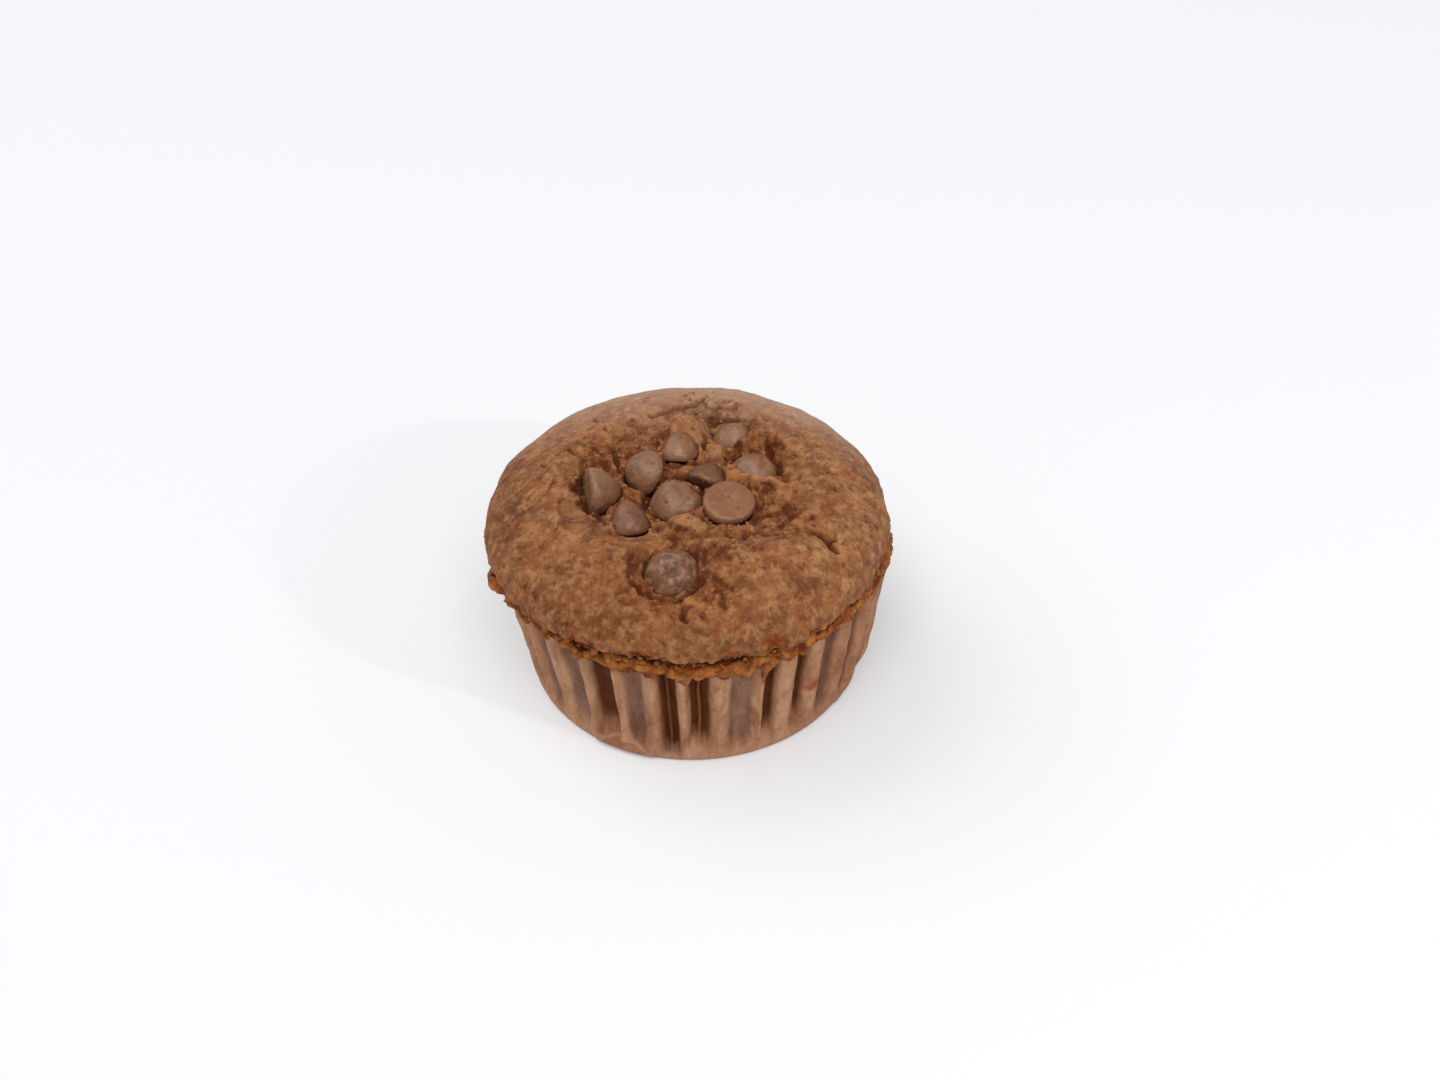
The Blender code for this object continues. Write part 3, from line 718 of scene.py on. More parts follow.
def make_lip():
    """The ragged ring of batter that has run over the case's rim, below the crust."""
    outline = evenly_spread(np.array(LIP_SECTION + LIP_SECTION[:1]), LIP_POINTS + 1)
    offset, rise = (np.repeat(numbers[:-1], LIP_COLUMNS) for numbers in outline)
    azimuth = np.tile(np.arange(LIP_COLUMNS) * 360.0 / LIP_COLUMNS, LIP_POINTS)
    waver, opening = edge_shape(azimuth, LIP_UNDERSIDE + rise)
    upper = smoothstep(0.0, LIP_TOP - LIP_UNDERSIDE, rise)
    outside = smoothstep(*LIP_OUTSIDE, offset)
    low = falling(*LIP_LOW, rise) * outside
    radius = LIP_RADIUS + offset + LIP_WAVER * waver * upper
    radius += outside * rises(azimuth, LIP_BULGES, 0.0).sum(axis=0)
    place = on_circle(LIP_RADIUS, azimuth, 0.0)
    runs = layered(place, RUN_LAYERS)
    drip = rises(azimuth + 1.2 * smooth_noise(place, 1.6, 63.0), DRIPS, DRIP_CORE).max(axis=0)
    higher = paper_rise(azimuth)
    drip = np.maximum(drip, 1.7 * np.maximum(runs - 0.15, 0.0)) * (1.0 - 0.4 * higher)
    bridge = 0.05 + layered(place, BRIDGE_LAYERS) + rises(azimuth, BRIDGES, BRIDGE_CORE).sum(axis=0)
    height = LIP_UNDERSIDE + rise - upper * (LIP_SETTLING * opening - waver) - 0.3 * runs * outside
    height += (0.95 * higher - drip) * low + upper * bridge * (1.0 - 0.4 * outside)
    radius -= CASE_TAPER * np.maximum(LIP_UNDERSIDE - 0.2 - height, 0.0) + 0.25 * low * smoothstep(0.4, 2.5, drip)
    points = on_circle(radius, azimuth, height, CASE_SHIFT)
    faces = []
    for step in range(LIP_POINTS):
        following = (step + 1) % LIP_POINTS
        faces += ring_faces(step * LIP_COLUMNS, following * LIP_COLUMNS, LIP_COLUMNS)
    lip = new_mesh("cake_lip", points, faces)
    pitted = pores(points, *LIP_PORES) * outside
    thin = smoothstep(*THIN_DRIP, drip) * low
    detail = 0.85 * crumb_height(points, 71.0) + 0.35 * smooth_noise(points, 2.2, 74.0)
    detail *= (0.35 + 0.65 * outside) * (1.0 - 0.7 * thin)
    moved = points + (detail - 0.5 * pitted)[:, None] * point_normals(lip)
    set_points(lip, moved)
    # Lip: dark blotches from noise, with painted shade in its pores, on its hidden inner side and in its low spots
    dark = 0.7 * np.maximum(smooth_noise(points, 2.6, 76.0) + 0.1, 0.0) + 0.7 * pitted
    cavity = 0.85 * falling(*LIP_INSIDE, offset) + 1.6 * np.maximum(-detail - 0.05, 0.0) + dark
    # Raised lip crumb is painted lighter, as painted light
    add_values(lip, broken=np.ones(len(points)), cavity=np.clip(cavity, 0.0, 1.0),
               peak=np.clip(0.45 + 1.3 * detail, 0.0, 1.0))
    return lip, moved, outside * smoothstep(LIP_UNDERSIDE, LIP_TOP, moved[:, 2])


# ---------------------------------------------------------------- paper case

PAPER = 0.14
FLUTE_COLUMNS = 26
STEEP_SLOPE = 0.75
GENTLE_SLOPE = 1.5
RIB_HALF_WIDTH = 0.8
RIDGE_ROUNDING = 0.4
DEEP_FLUTE = 1.95
# How far the flutes lean outwards at the foot on either side, in degrees
SPLAY = 2.7
# Side of the case that is painted darker as painted shade: its azimuth and the distances between which that fades, in
# degrees
SHADED_SIDE = (66.0, 14.0, 44.0)
RIB_HEIGHT = 1.1
RIB_CHANCE = 0.5
RIDGE_HALF_WIDTHS = (0.55, 1.4)
# How strongly a flute's columns crowd together on its slopes
CROWDING = 0.6
# Heights of the case's rows: at the foot's curve, then evenly where the flutes fade and above
FOOT_LEVELS = (0.0, 0.12, 0.35, 0.7, 1.1, 1.5)
FADE_LEVELS = (1.9, 7.5, 17)
WALL_LEVELS = (8.1, CASE_HEIGHT + 0.1, 21)
# Reddish smear on the paper: azimuth, height and half its size each way
SPOT = (39.0, 13.0, 5.5, 2.2)
# Share of the deepest flute between which a groove starts to darken and is darkest: painted shade, together with
# grease stain
DARK_GROOVE = (0.45, 0.92)
# Heights between which the paler foot ends
PALE_FOOT_EDGE = (1.0, 4.5)
# Small waver of the flutes round the case
FLUTE_WAVER = ((0.5, 1.8, 81.0), (0.16, 0.5, 80.0))
# Folded flap at the foot: azimuth, half width, height and how far it stands out
FLAPS = ((-26.0, 12.0, 4.4, 0.45), (63.0, 10.0, 3.4, 0.3), (148.0, 14.0, 4.0, 0.4), (-128.0, 12.0, 3.6, 0.35))


def case_radius(height):
    """Outer radius of the case on its ridges."""
    height = np.asarray(height, float)
    share = np.sqrt(np.clip(height / CASE_SIDE_START, 0.0, 1.0))
    foot = CASE_FOOT_RADIUS + (CASE_SIDE_RADIUS - CASE_FOOT_RADIUS) * share
    share = (height - CASE_SIDE_START) / (CASE_HEIGHT - CASE_SIDE_START)
    side = CASE_SIDE_RADIUS + (CASE_TOP_RADIUS - CASE_SIDE_RADIUS) * share
    return np.where(height < CASE_SIDE_START, foot, side)


def paper_rise(azimuth):
    """How much higher than CASE_HEIGHT the paper reaches at these azimuths."""
    return rises(azimuth, PAPER_RISES, 0.5).max(axis=0)


def flutes():
    """Ridge azimuth, width, depth, half width of the ridge and rib height of each flute."""
    draw = random.Random(FLUTE_SEED)
    others = [1.0 + WIDTH_SPREAD * draw.uniform(-1.0, 1.0) for _ in range(FLUTES - len(FRONT_FLUTES))]
    scale = (360.0 - sum(flute[0] for flute in FRONT_FLUTES)) / sum(others)
    rows = list(FRONT_FLUTES)
    for width in others:
        depth = DEEPEST_FLUTE - DEPTH_PER_DEGREE * (scale * width - NARROW_FLUTE)
        depth = min(max(depth, SHALLOWEST_FLUTE), DEEPEST_FLUTE)
        rib = RIB_HEIGHT if depth > DEEP_FLUTE and draw.random() < RIB_CHANCE else 0.0
        rows.append((scale * width, depth, draw.uniform(*RIDGE_HALF_WIDTHS), rib))
    found = []
    ridge = FIRST_RIDGE
    for row in rows:
        found.append((ridge, *row))
        ridge += row[0]
    return found


def flute_profile():
    """Each column of the case: azimuth, how far it is drawn in, share of flat panel and where the painted shade and
    grease stain in its groove end.
    """
    found = flutes()
    degree = math.radians(1.0) * (CASE_SIDE_RADIUS + CASE_TOP_RADIUS) / 2.0
    columns = []
    for number, (ridge, width, depth, half_width, rib) in enumerate(found):
        next_half_width = found[(number + 1) % len(found)][3]
        slope = STEEP_SLOPE if depth > DEEP_FLUTE else GENTLE_SLOPE
        span = width * degree
        for step in range(FLUTE_COLUMNS):
            share = step / FLUTE_COLUMNS
            share -= CROWDING * math.sin(4.0 * math.pi * share) / (4.0 * math.pi)
            across = share * span
            left = float(smoothstep(half_width, half_width + slope, across))
            right = float(smoothstep(next_half_width, next_half_width + slope, span - across))
            groove = min(left, right)
            middle = (half_width + span - next_half_width) / 2.0
            rib_share = float(falling(0.0, RIB_HALF_WIDTH, abs(across - middle)))
            rounding = min(across / half_width, (span - across) / next_half_width, 1.0) ** 2 * RIDGE_ROUNDING
            drawn = rounding + (depth - RIDGE_ROUNDING) * groove - rib * rib_share
            shade_and_stain_end = SHADE_AND_STAIN_ENDS.get(number, SHADE_AND_STAIN_END)
            columns.append((ridge + share * width, drawn, groove * (depth <= DEEP_FLUTE), shade_and_stain_end))
    return np.array(columns).T


def make_case():
    """The thin fluted paper: light ridges, flat panels and deep grooves that fade at the foot."""
    levels = np.concatenate([FOOT_LEVELS, np.linspace(*FADE_LEVELS), np.linspace(*WALL_LEVELS)])
    profile = flute_profile()
    count = profile.shape[1]
    azimuth, drawn, panel, shade_and_stain_end = np.tile(profile, len(levels))
    height = np.repeat(levels, count)
    height += paper_rise(azimuth) * smoothstep(17.0, CASE_HEIGHT, height)
    place = on_circle(10.0, azimuth, height / 5.0)
    azimuth = azimuth + SPLAY * np.sin(np.radians(azimuth)) * (1.0 - height / CASE_HEIGHT)
    azimuth += layered(place, FLUTE_WAVER)
    round_foot = on_circle(10.0, azimuth, 0.0)
    fade_end = FLUTE_FADE_END + 0.6 * np.minimum(shade_and_stain_end - SHADE_AND_STAIN_END, 0.0)
    fade_end = np.maximum(fade_end + 2.6 * smooth_noise(round_foot, 1.1, 82.0), 2.0)
    full = smoothstep(FLUTE_FADE_START, fade_end, height)
    crinkle = 0.22 * smooth_noise(on_circle(14.0, azimuth, height / 2.5), 1.6, 83.0)
    crinkle += 0.1 * smooth_noise(on_circle(30.0, azimuth, height), 1.7, 84.0)
    radius = case_radius(height) - drawn * full - PAPER + crinkle * smoothstep(0.4, 3.0, height)
    side, half_width, swelling = CASE_BULGE
    swelling *= smoothstep(0.5, 6.0, height) * (1.0 - 0.35 * smoothstep(12.0, 22.0, height))
    radius += swelling * around(azimuth, side, 0.0, half_width)
    ragged_height = height + 2.2 * smooth_noise(round_foot, 1.3, 86.0) + 1.2 * smooth_noise(place, 0.5, 87.0)
    shaded_and_stained = smoothstep(shade_and_stain_end - 3.0, shade_and_stain_end + 3.5, ragged_height)
    flap, fold_edge_highlight = np.zeros((2, len(radius)))
    for middle, half_width, top, out in FLAPS:
        reach = around(azimuth, middle, 0.0, half_width)
        edge = top * np.sqrt(reach) + 0.3 * smooth_noise(place, 0.9, 85.0)
        flap = np.maximum(flap, out * smoothstep(edge + 0.15, edge - 0.15, height) * (reach > 0.0))
        # A painted highlight: the fold's upper edge is painted lighter where it catches the light
        fold_edge_highlight = np.maximum(fold_edge_highlight, falling(0.0, 0.55, np.abs(height - edge + 0.3)) * (reach > 0.05))
    radius += flap * smoothstep(0.2, 1.0, height)
    faces = []
    for row in range(len(levels) - 1):
        faces += ring_faces((row + 1) * count, row * count, count)
    points = np.concatenate([on_circle(radius, azimuth, height, CASE_SHIFT), [[CASE_SHIFT, 0.0, 0.0]]])
    case = new_mesh("paper_wrap", points, faces + fan_faces(0, len(points) - 1, count))
    covered = np.minimum(3.0 * flap, 1.0)
    # Grooves are painted dark: painted shade in the deep grooves, with grease stain, from the ragged height where that
    # ends
    deep = smoothstep(*DARK_GROOVE, drawn / DEEPEST_FLUTE) * smoothstep(0.0, 0.6, full) * shaded_and_stained * (1.0 - covered)
    from_spot = np.hypot((azimuth - SPOT[0]) / SPOT[2], (height - SPOT[1]) / SPOT[3])
    values = {
        "groove": deep, "panel": panel * full * (1.0 - covered), "flap": covered, "fold_edge_highlight": fold_edge_highlight,
        "spot": falling(0.2, 1.0, from_spot + 0.5 * smooth_noise(place, 0.4, 88.0)),
        # The right side of the case is painted darker as painted shade
        "foot": falling(*PALE_FOOT_EDGE, ragged_height), "soaked_and_shaded": around(azimuth, *SHADED_SIDE),
    }
    add_values(case, **{name: np.append(numbers, float(name == "foot")) for name, numbers in values.items()})
    thickness = case.modifiers.new("Paper", "SOLIDIFY")
    thickness.thickness = PAPER * MM
    thickness.offset = -1.0
    return case


# ---------------------------------------------------------------- chocolate chips

CHIP_COLUMNS = 60
CHIP_ROWS = 48
CHIP_HOLLOW = 0.15
CHIP_DENTS = (2.1, 0.2, 0.55)
CHIP_DENT_DEPTH = 0.28
CHIP_DENT_SEED = 140.0
# How much smaller a chip is than its named size, to stay inside it where it swells
CHIP_SHRINK = 0.08
# Broken ledge on one chip: azimuth, half width, and how far it stands out
LEDGED_CHIP = 7
LEDGES = ((70.0, 34.0, 0.6),)


def chip_section():
    """Radius and height shares of a chip's outline, rounded and evenly spread, tip first."""
    corners = np.array(CHIP_OUTLINE + ((0.0, 0.0),))
    for _ in range(3):
        first = 0.75 * corners[:-1] + 0.25 * corners[1:]
        second = 0.25 * corners[:-1] + 0.75 * corners[1:]
        inner = np.stack([first, second], 1).reshape(-1, 2)
        corners = np.concatenate([corners[:1], inner[1:-1], corners[-1:]])
    return evenly_spread(corners, CHIP_ROWS)


def make_chip(number, chip):
    """One chip: a slightly uneven drop with a flat foot, dents and its own lean."""
    diameter, height = chip[3:5]
    azimuth = np.arange(CHIP_COLUMNS) * 360.0 / CHIP_COLUMNS
    rows = [on_circle(share * diameter / 2.0, azimuth, (rise - 0.5) * height)
            for share, rise in list(zip(*chip_section()))[1:-1]]
    local = np.concatenate([[[0.0, 0.0, height / 2.0]], *rows, [[0.0, 0.0, CHIP_HOLLOW - height / 2.0]]])
    last = len(local) - 1
    faces = [(0, 1 + i, 1 + (i + 1) % CHIP_COLUMNS) for i in range(CHIP_COLUMNS)]
    for row in range(len(rows) - 1):
        faces += ring_faces(1 + row * CHIP_COLUMNS, 1 + (row + 1) * CHIP_COLUMNS, CHIP_COLUMNS)
    faces += fan_faces(last - CHIP_COLUMNS, last, CHIP_COLUMNS)
    outward = local / np.maximum(np.linalg.norm(local, axis=1), MM)[:, None]
    swell = layered(local, CHIP_LAYERS, number) - CHIP_DENT_DEPTH * pores(local, *CHIP_DENTS, CHIP_DENT_SEED + number)
    local = local + (swell - CHIP_SHRINK)[:, None] * outward
    if number == LEDGED_CHIP:
        side = rises(azimuth_of(local), LEDGES, 0.5)[0]
        local += (side * falling(-0.2, 0.25, local[:, 2]))[:, None] * outward * (1.0, 1.0, 0.0)
    points = local @ chip_turn(chip).T + np.array(chip[:3])
    return new_mesh(f"chocolate_chip_{number:02d}", points, faces), points


# ---------------------------------------------------------------- loose crumbs

# Count of crumbs, then their smallest size, the range of sizes and how rare large ones are
TOP_CRUMBS = (1100, 0.2, 0.7, 3)
CHIP_CRUMBS = (170, 0.15, 0.4, 2)
LIP_CRUMBS = (330, 0.3, 0.6, 2)
# Crumbs wedged under the crust: count, smallest and largest
WEDGED_CRUMBS = (110, 0.4, 1.3)
GRAIN_STRETCH = (0.5, 1.3)
GRAIN_UNEVENNESS = 0.55


def make_crumbs(name, places, sizes, seed):
    """Small uneven grains at these places, as one mesh."""
    grain = bmesh.new()
    bmesh.ops.create_icosphere(grain, subdivisions=2, radius=1.0)
    shape = np.array([vertex.co[:] for vertex in grain.verts])
    sides = np.array([[vertex.index for vertex in face.verts] for face in grain.faces])
    grain.free()
    draw = np.random.default_rng(seed)
    points = []
    faces = []
    peaks = []
    for place, size in zip(places, sizes):
        stretch = draw.uniform(*GRAIN_STRETCH, 3)
        lump = 1.0 + GRAIN_UNEVENNESS * smooth_noise(shape * 1.1 + draw.uniform(-50.0, 50.0, 3), 1.0)
        turn = np.linalg.qr(draw.normal(size=(3, 3)))[0]
        faces.append(sides + len(points) * len(shape))
        points.append((shape * lump[:, None] * stretch) @ turn.T * size / 2.0 + place)
        # Each loose crumb stores a random tone under the same name as the painted light on raised crumb
        peaks.append(np.full(len(shape), draw.uniform(0.35, 1.0)))
    piece = new_mesh(name, np.concatenate(points), np.concatenate(faces).tolist())
    count = len(piece.data.vertices)
    add_values(piece, broken=np.ones(count), cavity=np.zeros(count), peak=np.concatenate(peaks))
    return piece


def scattered(places, chance, crumbs, draw):
    """Some of the places, drawn with these chances, and a size for each."""
    count, smallest, spread_of_sizes, rarity = crumbs
    chosen = places[draw.choice(len(places), count, replace=False, p=chance / chance.sum())]
    return chosen, smallest + spread_of_sizes * draw.random(count) ** rarity


# ---------------------------------------------------------------- materials

def linear(red, green, blue):
    """A colour given in sRGB from 0 to 255, as the shader takes it."""
    shares = [channel / 255.0 for channel in (red, green, blue)]
    return tuple(s / 12.92 if s <= 0.04045 else ((s + 0.055) / 1.055) ** 2.4 for s in shares) + (1.0,)


def put(tree, socket, value):
    """Links a value to a socket, or writes it there when it is a number or colour."""
    if isinstance(value, bpy.types.NodeSocket):
        tree.links.new(value, socket)
    else:
        socket.default_value = value


def node(tree, kind, **inputs):
    """A shader node with these inputs, named with _ for a space."""
    made = tree.nodes.new(kind)
    for name, value in inputs.items():
        put(tree, made.inputs[name.replace("_", " ")], value)
    return made


def noise_value(tree, place, length, detail, roughness, low=None, high=None):
    """Noise from 0 to 1 with features of about a length in millimetres, stretched between low and high."""
    made = node(tree, "ShaderNodeTexNoise", Vector=place, Scale=1.0 / (length * MM), Detail=detail,
                Roughness=roughness).outputs["Fac"]
    return made if low is None else spread(tree, made, low, high)


def spread(tree, value, low, high, to_low=0.0, to_high=1.0):
    """A value between low and high, stretched to another range and clamped."""
    return node(tree, "ShaderNodeMapRange", Value=value, From_Min=low, From_Max=high, To_Min=to_low,
                To_Max=to_high).outputs["Result"]


def mixed(tree, factor, first, second, blend="MIX"):
    """Two colours mixed by a factor."""
    made = tree.nodes.new("ShaderNodeMix")
    made.data_type = "RGBA"
    made.blend_type = blend
    for index, value in ((0, factor), (6, first), (7, second)):
        put(tree, made.inputs[index], value)
    return made.outputs[2]


def times(tree, value, share):
    """A value times a number."""
    made = node(tree, "ShaderNodeMath")
    made.operation = "MULTIPLY"
    for index, factor in enumerate((value, share)):
        put(tree, made.inputs[index], factor)
    return made.outputs[0]


def mottled(tree, place, colour, layers):
    """A colour with layers of noise laid over it, and the strength of the first layer."""
    shares = []
    for length, detail, roughness, low, high, strength, tone in layers:
        shares.append(times(tree, noise_value(tree, place, length, detail, roughness, low, high), strength))
        colour = mixed(tree, shares[-1], colour, linear(*tone))
    return colour, shares[0]


def painted(tree, colour, name, strength, tone):
    """A colour with another laid over it as far as the number that the mesh stores under a name says."""
    return mixed(tree, times(tree, stored(tree, name), strength), colour, tone)


def new_material(name):
    """A material, its tree, its Principled shader and the object's own coordinates."""
    made = bpy.data.materials.new(name)
    made.use_nodes = True
    tree = made.node_tree
    place = tree.nodes.new("ShaderNodeTexCoord").outputs["Object"]
    return made, tree, tree.nodes["Principled BSDF"], place


def stored(tree, name):
    """The number that the mesh stores for each point under this name."""
    made = tree.nodes.new("ShaderNodeAttribute")
    made.attribute_name = name
    return made.outputs["Fac"]


def finish(tree, shader, colour, roughness, specular, place, bumps):
    """Gives a shader its colour, roughness, specular level and fine bumps."""
    tree.links.new(colour, shader.inputs["Base Color"])
    tree.links.new(roughness, shader.inputs["Roughness"])
    shader.inputs["Specular IOR Level"].default_value = specular
    last = None
    for length, detail, coarseness, strength, distance in bumps:
        made = node(tree, "ShaderNodeBump", Height=noise_value(tree, place, length, detail, coarseness),
                    Strength=strength, Distance=distance * MM)
        if last:
            tree.links.new(last, made.inputs["Normal"])
        last = made.outputs[0]
    tree.links.new(last, shader.inputs["Normal"])


# Mottling: length, detail, roughness, low and high of the noise, then its strength and colour
CRUST_MOTTLES = (
    (3.4, 5.0, 0.65, 0.44, 0.7, 0.5, (158, 84, 46)),
    (3.0, 6.0, 0.68, 0.55, 0.34, 0.78, (102, 58, 36)),
    (1.9, 6.0, 0.7, 0.46, 0.7, 0.74, (194, 148, 104)),
    (1.3, 6.0, 0.7, 0.47, 0.3, 0.9, (84, 44, 24)),
)
PAPER_MOTTLES = ((2.4, 5.0, 0.65, 0.53, 0.7, 0.5, (118, 58, 32)),)
CHIP_MOTTLES = (
    (1.7, 5.0, 0.7, 0.5, 0.66, 0.5, (158, 106, 70)),
    (0.8, 5.0, 0.7, 0.53, 0.68, 0.55, (82, 44, 26)),
)
CHIP_BLOOM = (176, 144, 118)
CRUST_TONES = ((116, 70, 40), (160, 106, 66))
CRUMB_TONES = ((88, 42, 20), (174, 118, 74))
LIP_TONES = ((80, 32, 9), (184, 116, 54))
RED_CRUMB = (132, 62, 32)
PALE_CRUMB = (176, 128, 92)
RAW_TONES = ((104, 36, 10), (172, 90, 44))
BACK_SHEEN_TONE = (196, 160, 137)
# Tones of painted shade: in the crumb's cavities, and on the lip in its cavities and dark spots
CRUMB_CAVITY_SHADE = (90, 36, 8)
LIP_CAVITY_SHADE_AND_SPOTS = (124, 42, 4)
RIDGE_TONES = ((150, 100, 68), (186, 141, 108))
# Panel tones are greyer partly as a painted sheen reflection
PANEL_TONES = ((113, 79, 61), (151, 116, 97))
FLAP_TONES = ((126, 72, 42), (158, 108, 74))
GROOVE_TONES = ((74, 30, 2), (94, 46, 6))
FOLD_EDGE_HIGHLIGHT = (198, 152, 118)
SMEAR = (144, 64, 30)
PALE_FOOT = (168, 130, 110)
CAKE_SPECULAR, PAPER_SPECULAR, CHOCOLATE_SPECULAR = 0.08, 0.08, 0.36
# Fine bumps: length, detail and roughness of the noise, then strength and distance in millimetres
CAKE_BUMPS = ((0.4, 4.0, 0.7, 0.6, 0.3), (1.4, 5.0, 0.6, 0.6, 0.7))
PAPER_BUMPS = ((0.5, 4.0, 0.65, 0.3, 0.15), (1.8, 3.0, 0.5, 0.3, 0.3))
CHIP_BUMPS = ((0.5, 4.0, 0.6, 0.35, 0.15), (1.6, 3.0, 0.5, 0.3, 0.4))
# A faint sheen that lifts the cake's edges as dry crumb does
CAKE_SHEEN = {"Sheen Weight": 0.07, "Sheen Roughness": 0.5, "Sheen Tint": (1.0, 0.84, 0.7, 1.0)}
# What the colour is multiplied by where it is baked darker, or on the case's side painted darker as painted shade
TOASTED_SHARE = (0.84, 0.78, 0.74, 1.0)
SHADED_SIDE_SHARE = (0.86, 0.8, 0.76, 1.0)


def between(tree, share, tones):
    """A colour between two tones."""
    return mixed(tree, share, *(linear(*tone) for tone in tones))


def cake_material(name, crumb_tones, deep):
    """Baked chocolate crumb: mottled dry crust and redder torn crumb, with painted light on raised crumb, painted
    shade in the cavities and a painted sheen on the crust's back.
    """
    made, tree, shader, place = new_material(name)
    patches = noise_value(tree, place, 6.5, 5.0, 0.6, 0.36, 0.62)
    colour, red = mottled(tree, place, between(tree, patches, CRUST_TONES), CRUST_MOTTLES)
    colour = mixed(tree, stored(tree, "toasted"), colour, TOASTED_SHARE, "MULTIPLY")
    grit = noise_value(tree, place, 1.5, 6.0, 0.65, 0.38, 0.64)
    tone = node(tree, "ShaderNodeMath")
    # Crumb tone: grit plus the painted light on raised crumb
    put(tree, tone.inputs[0], times(tree, grit, 0.55))
    put(tree, tone.inputs[1], times(tree, stored(tree, "peak"), 0.55))
    crumb = between(tree, spread(tree, tone.outputs[0], 0.15, 0.95), crumb_tones)
    crumb = mixed(tree, times(tree, red, 0.8), crumb, linear(*RED_CRUMB))
    crumb = painted(tree, crumb, "pale", 0.4, linear(*PALE_CRUMB))
    colour = painted(tree, colour, "broken", 1.0, crumb)
    # Painted sheen on the back of the crust
    colour = painted(tree, colour, "back_sheen", 0.6, linear(*BACK_SHEEN_TONE))
    colour = painted(tree, colour, "raw", 0.75, between(tree, grit, RAW_TONES))
    # Painted shade in the cavities, and on the lip its dark spots as well
    colour = painted(tree, colour, "cavity", 1.0, linear(*deep))
    finish(tree, shader, colour, spread(tree, grit, 0.0, 1.0, 0.7, 0.92), CAKE_SPECULAR, place, CAKE_BUMPS)
    for key, value in CAKE_SHEEN.items():
        shader.inputs[key].default_value = value
    return made


def paper_material():
    """Greaseproof paper soaked brown: tan ridges, panels painted greyer partly as a painted sheen reflection, and
    grooves painted dark with painted shade and grease stain.
    """
    made, tree, shader, place = new_material("greased_paper")
    streak = node(tree, "ShaderNodeMapping", Vector=place, Scale=(1.0, 1.0, 0.3)).outputs[0]
    stains = noise_value(tree, streak, 2.6, 5.0, 0.65, 0.36, 0.64)
    # Flat panels take the greyer tones, partly a painted sheen reflection
    flat = spread(tree, stored(tree, "panel"), 0.3, 0.85)
    colour = mixed(tree, flat, between(tree, stains, RIDGE_TONES), between(tree, stains, PANEL_TONES))
    colour = painted(tree, colour, "flap", 1.0, between(tree, stains, FLAP_TONES))
    # Painted highlight along the fold's upper edge
    colour = painted(tree, colour, "fold_edge_highlight", 0.55, linear(*FOLD_EDGE_HIGHLIGHT))
    # Painted shade and grease stain in the grooves
    colour = painted(tree, colour, "groove", 1.0, between(tree, stains, GROOVE_TONES))
    # Painted shade on the right side of the case
    colour = mixed(tree, stored(tree, "soaked_and_shaded"), colour, SHADED_SIDE_SHARE, "MULTIPLY")
    colour = painted(tree, colour, "spot", 0.9, linear(*SMEAR))
    colour = painted(tree, colour, "foot", 0.4, linear(*PALE_FOOT))
    colour, _ = mottled(tree, place, colour, PAPER_MOTTLES)
    finish(tree, shader, colour, spread(tree, stains, 0.0, 1.0, 0.5, 0.7), PAPER_SPECULAR, streak, PAPER_BUMPS)
    return made


def chocolate_material(name, dark, light, bloom):
    """Milk chocolate with a dull bloom of its own strength."""
    made, tree, shader, place = new_material(name)
    tone = noise_value(tree, place, 3.2, 4.0, 0.6, 0.34, 0.66)
    layers = ((1.3, 4.0, 0.65, 0.48, 0.68, bloom, CHIP_BLOOM), *CHIP_MOTTLES)
    colour, haze = mottled(tree, place, between(tree, tone, (dark, light)), layers)
    finish(tree, shader, colour, spread(tree, haze, 0.0, 0.6, 0.3, 0.52), CHOCOLATE_SPECULAR, place, CHIP_BUMPS)
    return made


# ---------------------------------------------------------------- studio

FLOOR_HALF = 3000.0
FLOOR_LEVEL = -0.02
FLOOR_LOOK = {
    "Base Color": (0.645, 0.65, 0.67, 1.0), "Emission Color": (0.96, 0.98, 1.0, 1.0), "Emission Strength": 0.22,
    "Roughness": 0.9, "Specular IOR Level": 0.1,
}


def make_floor():
    """A wide pale floor."""
    floor = new_mesh("studio_floor", stack(*FLOOR_HALF * np.array([[-1, 1, 1, -1], [-1, -1, 1, 1]]), FLOOR_LEVEL),
                     [(0, 1, 2, 3)])
    made, _, shader, _ = new_material("studio_white")
    for name, value in FLOOR_LOOK.items():
        shader.inputs[name].default_value = value
    floor.data.materials.append(made)


# Lights: azimuth, elevation, distance and size in metres, power and colour
LIGHTS = {
    "window_left": (-116.0, 50.0, 2.2, 1.8, 16.8, (1.0, 0.995, 0.985)),
    "lamp_right": (52.0, 33.0, 0.75, 0.03, 0.85, (1.0, 0.99, 0.96)),
    "soft_front": (0.0, 63.0, 2.6, 1.9, 41.6, (1.0, 0.995, 0.985)),
}
SKY = ((0.985, 0.99, 1.0, 1.0), 0.4)


